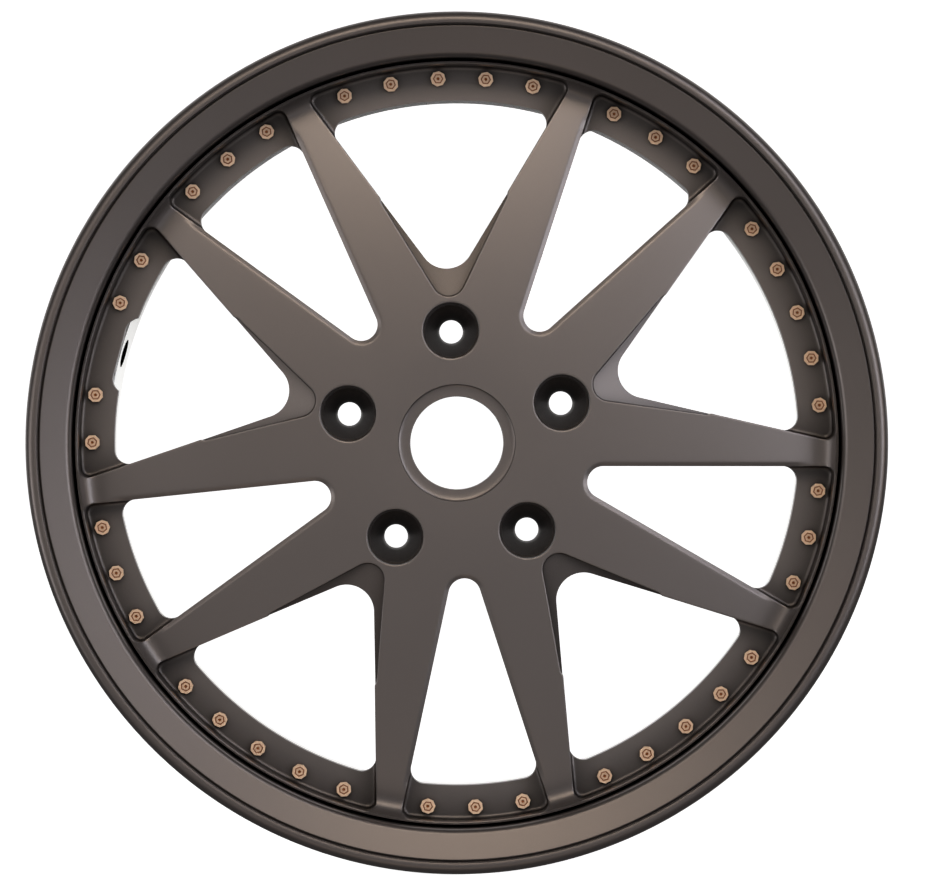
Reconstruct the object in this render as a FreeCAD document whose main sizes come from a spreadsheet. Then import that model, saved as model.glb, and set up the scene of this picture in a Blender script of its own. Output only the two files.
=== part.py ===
"""A bolt-together scooter wheel rim: centre disc, two rim halves, seal, bolts and nuts.

The wheel stands upright. Its axis is Y, its front faces -Y and +Z is up. The origin is on the axis,
midway between the two tyre flanges.
"""

import FreeCAD, Part
import math
import os

import Sketcher

SHEET = "Sizes"

# Windows come in pairs, one wide and one narrow, and each pair belongs to one lug hole.
PAIRS = 5
PAIR_STEP = 360.0 / PAIRS
BOLTS_IN_WIDE = 5
BOLTS_IN_NARROW = 3
HEAD_SIDES = 8
SOCKET_SIDES = 6
NUT_SIDES = 6

# Share of the crest's width that the rounding of the front flange takes up.
CREST_ROUNDING = 0.9

# Two places or radii closer than this are the same edge, in millimetres.
SAME_PLACE = 1e-4

# Each body is drawn with the valve window at the top and then turned to the place the valve has.
VALVE_TURN = -PAIR_STEP

# Every driving dimension, in millimetres and degrees.
DIMENSIONS = {
    # tyre seats and flanges
    "bead_seat_diameter": 304.0,
    "flange_height": 14.0,
    "flange_thickness": 11.9,
    "flange_crest": 4.6,
    "flange_shoulder": 5.0,
    "rim_width": 88.9,
    "seat_length": 16.0,
    "seat_taper": 5.0,
    "hump_height": 0.9,
    "hump_length": 5.0,
    # stepped lip of the front half
    "lip_wall": 3.5,
    "lip_step_depth": 1.4,
    "lip_step_width": 1.2,
    "lip_band_fall": 3.6,
    "lip_corner": 2.6,
    # barrel of the rear half, with a channel for the nuts and a well that lets the tyre's bead drop
    "barrel_wall": 3.5,
    "channel_width": 6.0,
    "channel_wall": 2.2,
    "well_wall": 3.8,
    "well_front_bore": 274.8,
    "well_rear_bore": 271.4,
    "well_length": 26.0,
    "well_front_side": 2.2,
    "well_rear_side": 5.8,
    "well_flare": 8.5,
    "well_corner": 2.0,
    "rear_flare_width": 9.0,
    "rear_flare_depth": 7.0,
    # bolted joint
    "front_web": 5.0,
    "rear_web": 5.0,
    "web_setback": 1.9,
    "seal_cord": 1.6,
    "seal_clearance": 0.1,
    "seal_inset": 3.6,
    # centre disc, along the axis
    "lip_depth": 18.0,
    "kick_height": 4.0,
    "pad_drop": 8.0,
    "pad_thickness": 6.0,
    "hub_rise": 10.0,
    "boss_height": 3.0,
    # centre disc, across
    "disc_clearance": 0.5,
    "disc_edge": 1.0,
    "kick_length": 6.0,
    "kick_radius": 9.0,
    "crown_radius": 730.0,
    "hub_flat_diameter": 67.4,
    "boss_diameter": 103.0,
    "bore_diameter": 36.2,
    "bore_flare": 4.6,
    # bolt pads and windows
    "pad_width": 13.4,
    "pad_corner": 3.6,
    "window_corner": 5.5,
    "wide_apex": 59.25,
    "wide_half_angle": 33.7,
    "wide_tip": 10.55,
    "narrow_apex": 34.6,
    "narrow_half_angle": 15.0,
    "narrow_tip": 6.25,
    "narrow_bevel": 1.5,
    # stepped ledge between the two spokes of a pair
    "ledge_apex": 49.5,
    "ledge_half_angle": 28.7,
    "ledge_tip": 6.6,
    "ledge_reach": 45.0,
    "ledge_corner": 3.8,
    "ledge_step": 2.6,
    "ledge_slope": 22.0,
    # lug holes
    "lug_circle_diameter": 87.0,
    "lug_hole_diameter": 9.2,
    "lug_pocket_diameter": 21.7,
    "lug_pocket_depth": 12.0,
    "lug_shelf": 0.8,
    "lug_seat_angle": 30.0,
    # valve notch and valve hole
    "notch_width": 30.4,
    "notch_depth": 2.8,
    "notch_corner": 5.9,
    "notch_step": 1.5,
    "valve_hole_diameter": 11.3,
    "valve_hole_offset": 10.0,
    # bolts and nuts
    "bolt_inset": 4.9,
    "bolt_pitch": 7.5,
    "bolt_diameter": 4.0,
    "bolt_clearance": 0.15,
    "head_across_flats": 5.5,
    "head_height": 2.0,
    "socket_across_flats": 3.5,
    "socket_depth": 0.9,
    "island_across_flats": 2.5,
    "nut_across_flats": 7.0,
    "nut_height": 3.2,
    "thread_clearance": 0.05,
    "bolt_overhang": 1.2,
}


class Size:
    """A size that carries both its number and the expression that ties it to the sheet."""

    def __init__(self, text, value):
        self.text = text
        self.value = value

    def __add__(self, other):
        other = as_size(other)
        return Size(f"({self.text} + {other.text})", self.value + other.value)

    def __sub__(self, other):
        other = as_size(other)
        return Size(f"({self.text} - {other.text})", self.value - other.value)

    def __mul__(self, factor):
        factor = as_size(factor)
        return Size(f"({self.text} * {factor.text})", self.value * factor.value)

    def __truediv__(self, divisor):
        divisor = as_size(divisor)
        return Size(f"({self.text} / {divisor.text})", self.value / divisor.value)

    def __neg__(self):
        return Size(f"(0 - {self.text})", -self.value)


def as_size(number):
    """Give a plain number the same form as a size from the sheet."""
    if isinstance(number, Size):
        return number
    return Size(repr(float(number)), float(number))


def sine(angle):
    """Sine of an angle in degrees."""
    angle = as_size(angle)
    return Size(f"sin({angle.text} * 1 deg)", math.sin(math.radians(angle.value)))


def cosine(angle):
    """Cosine of an angle in degrees."""
    angle = as_size(angle)
    return Size(f"cos({angle.text} * 1 deg)", math.cos(math.radians(angle.value)))


def tangent(angle):
    """Tangent of an angle in degrees."""
    return sine(angle) / cosine(angle)


def make_sheet(doc):
    """Write every driving dimension to the spreadsheet, one alias to a row."""
    sheet = doc.addObject("Spreadsheet::Sheet", SHEET)
    for row, (alias, number) in enumerate(DIMENSIONS.items(), start=1):
        sheet.set(f"A{row}", alias)
        sheet.set(f"B{row}", str(number))
        sheet.setAlias(f"B{row}", alias)
    doc.recompute()
    return sheet


def size(alias):
    """A driving dimension by its alias."""
    return Size(f"{SHEET}.{alias}", DIMENSIONS[alias])


def bind(target, path, value):
    """Tie one property of an object to a size."""
    target.setExpression(path, value.text)


def origin_feature(body, role):
    """The origin plane or axis of a body that has the given role."""
    for feature in body.Origin.OriginFeatures:
        if feature.Role == role:
            return feature
    raise ValueError(f"{body.Label} has no {role}")


def make_body(doc, name, turn):
    """A body of its own, turned about the wheel's axis."""
    body = doc.addObject("PartDesign::Body", name)
    body.Label = name
    body.AllowCompound = True
    body.Placement = FreeCAD.Placement(
        FreeCAD.Vector(0, 0, 0), FreeCAD.Rotation(FreeCAD.Vector(0, 1, 0), turn))
    return body


def make_sketch(body, name, role, height=None, turn=0.0):
    """A sketch on one of the body's origin planes, raised along its normal and turned in its plane."""
    sketch = body.newObject("Sketcher::SketchObject", f"{body.Name}_{name}")
    sketch.AttachmentSupport = (origin_feature(body, role), "")
    sketch.MapMode = "FlatFace"
    rise = 0.0 if height is None else height.value
    sketch.AttachmentOffset = FreeCAD.Placement(
        FreeCAD.Vector(0, 0, rise), FreeCAD.Rotation(FreeCAD.Vector(0, 0, 1), turn))
    if height is not None:
        bind(sketch, "AttachmentOffset.Base.z", height)
    return sketch


def constrain(sketch, value, *definition):
    """Add a dimension to a sketch and tie it to a size."""
    number = value.value
    if definition[0] == "Angle":
        number = math.radians(number)
    index = sketch.addConstraint(Sketcher.Constraint(*definition, number))
    bind(sketch, f"Constraints[{index}]", value)


def place_point(sketch, geometry, position, across, along):
    """Fix a point of the sketch by its two coordinates."""
    constrain(sketch, across, "DistanceX", -1, 1, geometry, position)
    constrain(sketch, along, "DistanceY", -1, 1, geometry, position)


def vector(across, along):
    """A sketch point from two sizes."""
    return FreeCAD.Vector(across.value, along.value, 0)


def arc_between(start, end, radius, leftward):
    """Arc of the given radius from start to end, turning to the left or to the right on its way."""
    chord = end - start
    middle = (start + end) / 2
    rise = math.sqrt(radius ** 2 - (chord.Length / 2) ** 2)
    normal = FreeCAD.Vector(-chord.y, chord.x, 0).normalize()
    centre = middle + normal * (rise if leftward else -rise)
    start_angle = math.atan2(start.y - centre.y, start.x - centre.x)
    end_angle = math.atan2(end.y - centre.y, end.x - centre.x)
    circle = Part.Circle(centre, FreeCAD.Vector(0, 0, 1), radius)
    if leftward:
        return Part.ArcOfCircle(circle, start_angle, end_angle)
    return Part.ArcOfCircle(circle, end_angle, start_angle)


def draw_profile(sketch, points, bends=None):
    """Draw a closed outline through the points.

    The sides are straight, apart from those in `bends`, which gives, for the point where a curved side
    starts, its radius and whether it turns to the left.
    """
    bends = bends or {}
    count = len(points)
    ends = {}
    for number, point in enumerate(points):
        start = vector(*point)
        end = vector(*points[(number + 1) % count])
        ends[number] = (1, 2)
        if point in bends:
            radius, leftward = bends[point]
            sketch.addGeometry(arc_between(start, end, radius.value, leftward))
            if not leftward:
                ends[number] = (2, 1)
        else:
            sketch.addGeometry(Part.LineSegment(start, end))
    for number, point in enumerate(points):
        following = (number + 1) % count
        sketch.addConstraint(
            Sketcher.Constraint("Coincident", number, ends[number][1], following, ends[following][0]))
        place_point(sketch, number, ends[number][0], *point)
        if point in bends:
            constrain(sketch, bends[point][0], "Radius", number)


def draw_window(sketch, apex, half_angle, tip, reach, corner):
    """Draw a window: two sides that open from an apex on the vertical axis, a rounded tip at the hub
    end and an arc about the wheel's axis, with rounded corners, at the rim end."""
    slope = math.radians(half_angle.value)
    side = FreeCAD.Vector(math.sin(slope), math.cos(slope), 0)
    inward = FreeCAD.Vector(-math.cos(slope), math.sin(slope), 0)
    up = FreeCAD.Vector(0, 1, 0)
    tip_height = apex + tip / sine(half_angle)
    tip_centre = up * tip_height.value
    inner_apex = apex.value + corner.value / math.sin(slope)
    inner_reach = reach.value - corner.value
    run = math.sqrt(inner_reach ** 2 - (inner_apex * math.sin(slope)) ** 2)
    corner_centre = up * inner_apex + side * (run - inner_apex * math.cos(slope))
    tip_touch = tip_centre - inward * tip.value
    side_touch = corner_centre - inward * corner.value
    rim_angle = math.atan2(corner_centre.y, corner_centre.x)

    def mirrored(point):
        return FreeCAD.Vector(-point.x, point.y, 0)

    def arc(centre, radius, first, last):
        circle = Part.Circle(centre, FreeCAD.Vector(0, 0, 1), radius)
        return Part.ArcOfCircle(circle, first, last)

    half_turn = math.pi
    right = sketch.addGeometry(Part.LineSegment(tip_touch, side_touch))
    right_corner = sketch.addGeometry(arc(corner_centre, corner.value, -slope, rim_angle))
    rim = sketch.addGeometry(arc(FreeCAD.Vector(0, 0, 0), reach.value, rim_angle, half_turn - rim_angle))
    left_corner = sketch.addGeometry(
        arc(mirrored(corner_centre), corner.value, half_turn - rim_angle, half_turn + slope))
    left = sketch.addGeometry(Part.LineSegment(mirrored(tip_touch), mirrored(side_touch)))
    root = sketch.addGeometry(arc(tip_centre, tip.value, half_turn + slope, 2 * half_turn - slope))

    joints = [
        (right, 2, right_corner, 1),
        (right_corner, 2, rim, 1),
        (rim, 2, left_corner, 1),
        (left_corner, 2, left, 2),
        (left, 1, root, 1),
        (root, 2, right, 1),
    ]
    for joint in joints:
        sketch.addConstraint(Sketcher.Constraint("Tangent", *joint))
    sketch.addConstraint(Sketcher.Constraint("Coincident", rim, 3, -1, 1))
    sketch.addConstraint(Sketcher.Constraint("PointOnObject", root, 3, -2))
    sketch.addConstraint(Sketcher.Constraint("Equal", right_corner, left_corner))
    constrain(sketch, reach, "Radius", rim)
    constrain(sketch, corner, "Radius", right_corner)
    constrain(sketch, tip, "Radius", root)
    constrain(sketch, tip_height, "DistanceY", -1, 1, root, 3)
    constrain(sketch, as_size(90.0) - half_angle, "Angle", right)
    constrain(sketch, as_size(90.0) + half_angle, "Angle", left)


def revolve(body, sketch):
    """Turn a profile about the wheel's axis."""
    feature = body.newObject("PartDesign::Revolution", f"{body.Name}_turned")
    feature.Profile = sketch
    feature.ReferenceAxis = (origin_feature(body, "Y_Axis"), [""])
    feature.Angle = 360.0
    return feature


def pocket(body, name, sketch, depth=None):
    """Cut a sketch into the body from the front, to a depth or right through."""
    feature = body.newObject("PartDesign::Pocket", f"{body.Name}_{name}")
    feature.Profile = sketch
    if depth is None:
        feature.Type = "ThroughAll"
        feature.Midplane = True
    else:
        feature.Type = "Length"
        bind(feature, "Length", depth)
    return feature


def repeat(body, name, originals, occurrences, angle):
    """Repeat features about the wheel's axis over an angle and make the pattern the body's result."""
    feature = body.newObject("PartDesign::PolarPattern", f"{body.Name}_{name}")
    feature.Originals = originals
    feature.Axis = (origin_feature(body, "Y_Axis"), [""])
    feature.Occurrences = occurrences
    if isinstance(angle, Size):
        bind(feature, "Angle", angle)
    else:
        feature.Angle = angle
    body.Tip = feature
    return feature


def round_edges(body, name, base, radius, wanted):
    """Round the edges of the last feature that the test picks."""
    body.Document.recompute()
    names = [f"Edge{n}" for n, edge in enumerate(base.Shape.Edges, start=1) if wanted(edge)]
    feature = body.newObject("PartDesign::Fillet", f"{body.Name}_{name}")
    feature.Base = (base, names)
    bind(feature, "Radius", radius)
    body.Tip = feature
    return feature


def ring_edge(radius, along):
    """Test for the full circle about the wheel's axis with this radius and place."""
    def wanted(edge):
        curve = edge.Curve
        if not isinstance(curve, Part.Circle):
            return False
        same_radius = abs(curve.Radius - radius.value) < SAME_PLACE
        return same_radius and abs(edge.CenterOfMass.y - along.value) < SAME_PLACE
    return wanted


# Places along the axis, from the front flange to the channel behind the nuts.
HALF_WIDTH = size("rim_width") / 2
FRONT = -(HALF_WIDTH + size("flange_thickness"))
DISC_TOP = FRONT + size("lip_depth")
SPOKE_END = DISC_TOP + size("kick_height")
PAD_FLOOR = SPOKE_END + size("pad_drop")
DISC_SEAT = PAD_FLOOR + size("pad_thickness")
WEB_JOINT = DISC_SEAT + size("front_web")
NUT_SEAT = WEB_JOINT + size("rear_web")
CHANNEL_END = NUT_SEAT + size("channel_width")
HUB_FACE = SPOKE_END - size("hub_rise")
MOUNT_FACE = DISC_SEAT + size("boss_height")

# Radii, from the tyre flange to the bore.
SEAT_RADIUS = size("bead_seat_diameter") / 2
FLANGE_RADIUS = SEAT_RADIUS + size("flange_height")
SEAT_END = SEAT_RADIUS - size("seat_length") * tangent(size("seat_taper"))
LIP_BORE = SEAT_RADIUS - size("lip_wall")
BARREL_BORE = SEAT_END - size("barrel_wall")
DISC_RADIUS = LIP_BORE - size("disc_clearance")
POCKET_RADIUS = DISC_RADIUS - size("disc_edge")
KICK_RADIUS = POCKET_RADIUS - size("kick_length")
BOLT_CIRCLE = POCKET_RADIUS - size("bolt_inset")
PAD_EDGE = POCKET_RADIUS - size("pad_width")
WEB_EDGE = PAD_EDGE + size("web_setback")
NOTCH_RADIUS = PAD_EDGE + size("notch_depth")
SEAL_CIRCLE = SEAT_END - size("seal_inset")
BORE_RADIUS = size("bore_diameter") / 2


def bolt_holes(body, height=None, depth=None):
    """Drill the bolt circle, with no hole at the valve: right through, or from a height to a depth."""
    hole_radius = size("bolt_diameter") / 2 + size("bolt_clearance")
    wide_half = (BOLTS_IN_WIDE - 1) // 2
    narrow_half = (BOLTS_IN_NARROW - 1) // 2
    pitch = size("bolt_pitch")
    angles = [pitch * step for step in range(-wide_half, wide_half + 1) if step != 0]
    angles += [pitch * step + PAIR_STEP / 2 for step in range(-narrow_half, narrow_half + 1)]

    def drill(name, places):
        sketch = make_sketch(body, f"{name}_sketch", "XZ_Plane", height)
        for angle in places:
            across = BOLT_CIRCLE * sine(angle)
            along = BOLT_CIRCLE * cosine(angle)
            circle = Part.Circle(vector(across, along), FreeCAD.Vector(0, 0, 1), hole_radius.value)
            hole = sketch.addGeometry(circle)
            constrain(sketch, hole_radius, "Radius", hole)
            place_point(sketch, hole, 3, across, along)
        return pocket(body, name, sketch, depth)

    repeat(body, "side_holes_all", [drill("side_holes", angles)], PAIRS, 360.0)
    middle = drill("middle_hole", [as_size(PAIR_STEP)])
    repeat(body, "middle_holes_all", [middle], PAIRS - 1, PAIR_STEP * (PAIRS - 2))


def valve_notch(body, reach, height=None, depth=None):
    """Relieve the inner edge beside the valve: right through, or from a height to a depth."""
    sketch = make_sketch(body, "notch_sketch", "XZ_Plane", height)
    half = size("notch_width") / 2
    corner = size("notch_corner")
    shoulder = reach - corner
    bottom = shoulder - size("notch_depth")
    inset = half - corner
    quarter = math.pi / 2

    def corner_arc(across, first):
        circle = Part.Circle(vector(across, shoulder), FreeCAD.Vector(0, 0, 1), corner.value)
        return Part.ArcOfCircle(circle, first, first + quarter)

    base = sketch.addGeometry(Part.LineSegment(vector(-half, bottom), vector(half, bottom)))
    right = sketch.addGeometry(Part.LineSegment(vector(half, bottom), vector(half, shoulder)))
    right_corner = sketch.addGeometry(corner_arc(inset, 0.0))
    top = sketch.addGeometry(Part.LineSegment(vector(inset, reach), vector(-inset, reach)))
    left_corner = sketch.addGeometry(corner_arc(-inset, quarter))
    left = sketch.addGeometry(Part.LineSegment(vector(-half, shoulder), vector(-half, bottom)))
    sketch.addConstraint(Sketcher.Constraint("Coincident", base, 2, right, 1))
    sketch.addConstraint(Sketcher.Constraint("Tangent", right, 2, right_corner, 1))
    sketch.addConstraint(Sketcher.Constraint("Tangent", right_corner, 2, top, 1))
    sketch.addConstraint(Sketcher.Constraint("Tangent", top, 2, left_corner, 1))
    sketch.addConstraint(Sketcher.Constraint("Tangent", left_corner, 2, left, 1))
    sketch.addConstraint(Sketcher.Constraint("Coincident", left, 2, base, 1))
    place_point(sketch, base, 1, -half, bottom)
    place_point(sketch, base, 2, half, bottom)
    sketch.addConstraint(Sketcher.Constraint("Vertical", right))
    sketch.addConstraint(Sketcher.Constraint("Vertical", left))
    sketch.addConstraint(Sketcher.Constraint("Equal", right_corner, left_corner))
    constrain(sketch, corner, "Radius", right_corner)
    constrain(sketch, reach, "DistanceY", -1, 1, top, 1)
    body.Tip = pocket(body, "notch", sketch, depth)


def front_half(doc):
    """The front rim half: tyre flange, stepped lip, bead seat and bolting web."""
    body = make_body(doc, "front_rim_half", VALVE_TURN)
    flange_inside = -HALF_WIDTH
    crest_inner = FLANGE_RADIUS - size("flange_crest")
    band_outer = crest_inner - size("lip_step_width")
    step_floor = FRONT + size("lip_step_depth")
    band_end = step_floor + size("lip_band_fall")
    seat_end = flange_inside + size("seat_length")
    hump_top = seat_end + size("hump_length") / 2
    hump_end = seat_end + size("hump_length")
    points = [
        (SEAT_RADIUS, flange_inside),
        (FLANGE_RADIUS, flange_inside),
        (FLANGE_RADIUS, FRONT),
        (crest_inner, FRONT),
        (crest_inner, step_floor),
        (band_outer, step_floor),
        (LIP_BORE, band_end),
        (LIP_BORE, DISC_SEAT),
        (WEB_EDGE, DISC_SEAT),
        (WEB_EDGE, WEB_JOINT),
        (SEAT_END, WEB_JOINT),
        (SEAT_END, hump_end),
        (SEAT_END + size("hump_height"), hump_top),
        (SEAT_END, seat_end),
    ]
    sketch = make_sketch(body, "profile", "XY_Plane")
    draw_profile(sketch, points)
    turned = revolve(body, sketch)
    crest = round_edges(
        body, "crest", turned, size("flange_crest") * CREST_ROUNDING, ring_edge(FLANGE_RADIUS, FRONT))
    shoulder = round_edges(
        body, "shoulder", crest, size("flange_shoulder"), ring_edge(FLANGE_RADIUS, flange_inside))
    round_edges(body, "lip", shoulder, size("lip_corner"), ring_edge(LIP_BORE, band_end))
    bolt_holes(body)
    valve_notch(body, NOTCH_RADIUS + size("notch_step"))
    return body


def rear_half(doc):
    """The rear rim half: bolting web with the seal's groove, nut channel, well, bead seat and flange."""
    body = make_body(doc, "rear_rim_half", VALVE_TURN)
    rear = HALF_WIDTH + size("flange_thickness")
    front_bore = size("well_front_bore") / 2
    rear_bore = size("well_rear_bore") / 2
    well_end = CHANNEL_END + size("well_length")
    seat_end = HALF_WIDTH - size("seat_length")
    hump_top = seat_end - size("hump_length") / 2
    hump_end = seat_end - size("hump_length")
    groove_half = size("seal_cord") / 2 + size("seal_clearance")
    groove_floor = WEB_JOINT + size("seal_cord") + size("seal_clearance")
    well_shoulder = (SEAT_END, CHANNEL_END + size("channel_wall"))
    well_front = (front_bore + size("well_wall"), well_shoulder[1] + size("well_front_side"))
    well_rear = (rear_bore + size("well_wall"), hump_end - size("well_rear_side"))
    points = [
        (SEAT_END, WEB_JOINT),
        (SEAL_CIRCLE + groove_half, WEB_JOINT),
        (SEAL_CIRCLE + groove_half, groove_floor),
        (SEAL_CIRCLE - groove_half, groove_floor),
        (SEAL_CIRCLE - groove_half, WEB_JOINT),
        (WEB_EDGE, WEB_JOINT),
        (WEB_EDGE, NUT_SEAT),
        (BARREL_BORE, NUT_SEAT),
        (BARREL_BORE, CHANNEL_END),
        (front_bore, CHANNEL_END),
        (rear_bore, well_end),
        (BARREL_BORE, well_end + size("well_flare")),
        (BARREL_BORE, rear - size("rear_flare_depth")),
        (BARREL_BORE + size("rear_flare_width"), rear),
        (FLANGE_RADIUS, rear),
        (FLANGE_RADIUS, HALF_WIDTH),
        (SEAT_RADIUS, HALF_WIDTH),
        (SEAT_END, seat_end),
        (SEAT_END + size("hump_height"), hump_top),
        (SEAT_END, hump_end),
        well_rear,
        well_front,
        well_shoulder,
    ]
    sketch = make_sketch(body, "profile", "XY_Plane")
    draw_profile(sketch, points)
    turned = revolve(body, sketch)
    crest = round_edges(body, "crest", turned, size("flange_shoulder"), ring_edge(FLANGE_RADIUS, rear))
    shoulder = round_edges(
        body, "shoulder", crest, size("flange_shoulder"), ring_edge(FLANGE_RADIUS, HALF_WIDTH))
    flare = round_edges(body, "flare", shoulder, size("lip_corner"),
                        ring_edge(BARREL_BORE + size("rear_flare_width"), rear))
    well_edges = [ring_edge(*place) for place in (well_shoulder, well_front, well_rear, (rear_bore, well_end))]
    round_edges(body, "well", flare, size("well_corner"),
                lambda edge: any(wanted(edge) for wanted in well_edges))
    bolt_holes(body, -WEB_JOINT, size("rear_web"))
    valve_notch(body, NOTCH_RADIUS + size("notch_step"), -WEB_JOINT, size("rear_web"))
    valve_hole(body)
    return body


def valve_hole(body):
    """Drill the radial valve hole through the floor of the well."""
    sketch = make_sketch(body, "valve_sketch", "XY_Plane")
    radius = size("valve_hole_diameter") / 2
    place = CHANNEL_END + size("valve_hole_offset")
    centre = FreeCAD.Vector(0, place.value, 0)
    hole = sketch.addGeometry(Part.Circle(centre, FreeCAD.Vector(0, 0, 1), radius.value))
    constrain(sketch, radius, "Radius", hole)
    sketch.addConstraint(Sketcher.Constraint("PointOnObject", hole, 3, -2))
    constrain(sketch, place, "DistanceY", -1, 1, hole, 3)
    feature = body.newObject("PartDesign::Pocket", f"{body.Name}_valve_hole")
    feature.Profile = sketch
    feature.Type = "Length"
    feature.Reversed = True
    bind(feature, "Length", FLANGE_RADIUS)
    body.Tip = feature


def seal(doc):
    """The sealing ring in its groove between the two rim halves."""
    ring = doc.addObject("Part::Torus", "rim_seal")
    ring.Label = "rim_seal"
    bind(ring, "Radius1", SEAL_CIRCLE)
    bind(ring, "Radius2", size("seal_cord") / 2)
    middle = WEB_JOINT + size("seal_clearance") / 2 + size("seal_cord") / 2
    ring.Placement = FreeCAD.Placement(
        FreeCAD.Vector(0, middle.value, 0), FreeCAD.Rotation(FreeCAD.Vector(1, 0, 0), 90))
    bind(ring, "Placement.Base.y", middle)
    return ring


def lug_pockets(body):
    """Bore the lug holes, each with a deep pocket and a conical seat."""
    sketch = make_sketch(body, "lug_sketch", "YZ_Plane")
    lug_radius = size("lug_circle_diameter") / 2
    hole = size("lug_hole_diameter") / 2
    rim = size("lug_pocket_diameter") / 2
    shelf = rim - size("lug_shelf")
    floor = HUB_FACE + size("lug_pocket_depth")
    seat = floor + (shelf - hole) / tangent(size("lug_seat_angle"))
    above = FRONT
    below = MOUNT_FACE + size("boss_height")
    points = [
        (above, lug_radius),
        (below, lug_radius),
        (below, lug_radius + hole),
        (seat, lug_radius + hole),
        (floor, lug_radius + shelf),
        (floor, lug_radius + rim),
        (above, lug_radius + rim),
    ]
    draw_profile(sketch, points)
    axis = sketch.addGeometry(Part.LineSegment(vector(*points[0]), vector(*points[1])), True)
    sketch.addConstraint(Sketcher.Constraint("Coincident", axis, 1, 0, 1))
    sketch.addConstraint(Sketcher.Constraint("Coincident", axis, 2, 0, 2))
    groove = body.newObject("PartDesign::Groove", f"{body.Name}_lug")
    groove.Profile = sketch
    groove.ReferenceAxis = (sketch, ["Axis0"])
    groove.Angle = 360.0
    repeat(body, "lugs", [groove], PAIRS, 360.0)


def spoke_ledge(body):
    """Cut the stepped ledge between the two spokes of each pair, its floor ramped towards the rim."""
    tip_place = size("ledge_apex") + size("ledge_tip") / sine(size("ledge_half_angle")) - size("ledge_tip")
    floor = HUB_FACE + size("ledge_step")
    ramp = body.newObject("PartDesign::Plane", f"{body.Name}_ramp")
    ramp.AttachmentSupport = (origin_feature(body, "XZ_Plane"), "")
    ramp.MapMode = "FlatFace"
    tilt = size("ledge_slope")
    ramp.AttachmentOffset = FreeCAD.Placement(
        FreeCAD.Vector(0, tip_place.value, -floor.value),
        FreeCAD.Rotation(FreeCAD.Vector(-1, 0, 0), tilt.value))
    bind(ramp, "AttachmentOffset.Base.y", tip_place)
    bind(ramp, "AttachmentOffset.Base.z", -floor)
    bind(ramp, "AttachmentOffset.Rotation.Angle", tilt)
    sketch = make_sketch(body, "ledge_sketch", "XZ_Plane", -FRONT)
    reach = tip_place + size("ledge_reach")
    draw_window(sketch, size("ledge_apex"), size("ledge_half_angle"), size("ledge_tip"), reach,
                size("ledge_corner"))
    cut = body.newObject("PartDesign::Pocket", f"{body.Name}_ledge")
    cut.Profile = sketch
    cut.Type = "UpToFace"
    cut.UpToFace = (ramp, [""])
    repeat(body, "ledges", [cut], PAIRS, 360.0)


def centre_disc(doc):
    """The centre disc: hub, ten spokes in five pairs, bolt pads, windows, ledges and lug pockets."""
    body = make_body(doc, "centre_disc", VALVE_TURN)
    hub_edge = (size("hub_flat_diameter") / 2, HUB_FACE)
    spoke_fold = (KICK_RADIUS, SPOKE_END)
    points = [
        (BORE_RADIUS, MOUNT_FACE),
        (BORE_RADIUS, HUB_FACE + size("bore_flare")),
        (BORE_RADIUS + size("bore_flare"), HUB_FACE),
        hub_edge,
        spoke_fold,
        (POCKET_RADIUS, DISC_TOP),
        (DISC_RADIUS, DISC_TOP),
        (DISC_RADIUS, DISC_SEAT),
        (size("boss_diameter") / 2, DISC_SEAT),
        (size("boss_diameter") / 2, MOUNT_FACE),
    ]
    bends = {hub_edge: (size("crown_radius"), True), spoke_fold: (size("kick_radius"), False)}
    sketch = make_sketch(body, "profile", "XY_Plane")
    draw_profile(sketch, points, bends)
    revolve(body, sketch)

    half_step = PAIR_STEP / 2
    cut_depth = PAD_FLOOR - FRONT
    wide = [size("wide_apex"), size("wide_half_angle"), size("wide_tip")]
    narrow = [size("narrow_apex"), size("narrow_half_angle"), size("narrow_tip")]

    blank = make_sketch(body, "bevel_sketch", "XZ_Plane", -FRONT, half_step)
    draw_window(blank, *narrow, KICK_RADIUS - size("kick_length"), size("pad_corner"))
    cuts = repeat(body, "bevel_cuts", [pocket(body, "bevel_cut", blank, cut_depth)], PAIRS, 360.0)
    bevel_edges(body, cuts)

    for name, turn, outline in (("wide", 0.0, wide), ("narrow", half_step, narrow)):
        pad = make_sketch(body, f"{name}_pad_sketch", "XZ_Plane", -FRONT, turn)
        draw_window(pad, *outline, POCKET_RADIUS, size("pad_corner"))
        repeat(body, f"{name}_pads", [pocket(body, f"{name}_pad", pad, cut_depth)], PAIRS, 360.0)
        window = make_sketch(body, f"{name}_window_sketch", "XZ_Plane", None, turn)
        draw_window(window, *outline, PAD_EDGE, size("window_corner"))
        repeat(body, f"{name}_windows", [pocket(body, f"{name}_window", window)], PAIRS, 360.0)

    spoke_ledge(body)
    lug_pockets(body)
    bolt_holes(body)
    valve_notch(body, NOTCH_RADIUS)
    return body


def bevel_edges(body, cuts):
    """Bevel the spokes along the narrow windows, where the cut meets the crowned face."""
    body.Document.recompute()
    shape = cuts.Shape
    crowned = [face for face in shape.Faces if isinstance(face.Surface, Part.SurfaceOfRevolution)]
    crowned = max(crowned, key=lambda face: face.Area)
    names = []
    for number, edge in enumerate(shape.Edges, start=1):
        about_axis = isinstance(edge.Curve, Part.Circle) and 1 - abs(edge.Curve.Axis.y) < SAME_PLACE
        on_crown = any(edge.isSame(other) for other in crowned.Edges)
        if on_crown and not about_axis and not edge.isSeam(crowned):
            names.append(f"Edge{number}")
    feature = body.newObject("PartDesign::Chamfer", f"{body.Name}_bevel")
    feature.Base = (cuts, names)
    bind(feature, "Size", size("narrow_bevel"))
    body.Tip = feature
    return feature


def circumradius(across_flats, sides):
    """Corner radius of a regular outline from its width across flats."""
    return across_flats / 2 / cosine(180.0 / sides)


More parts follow.
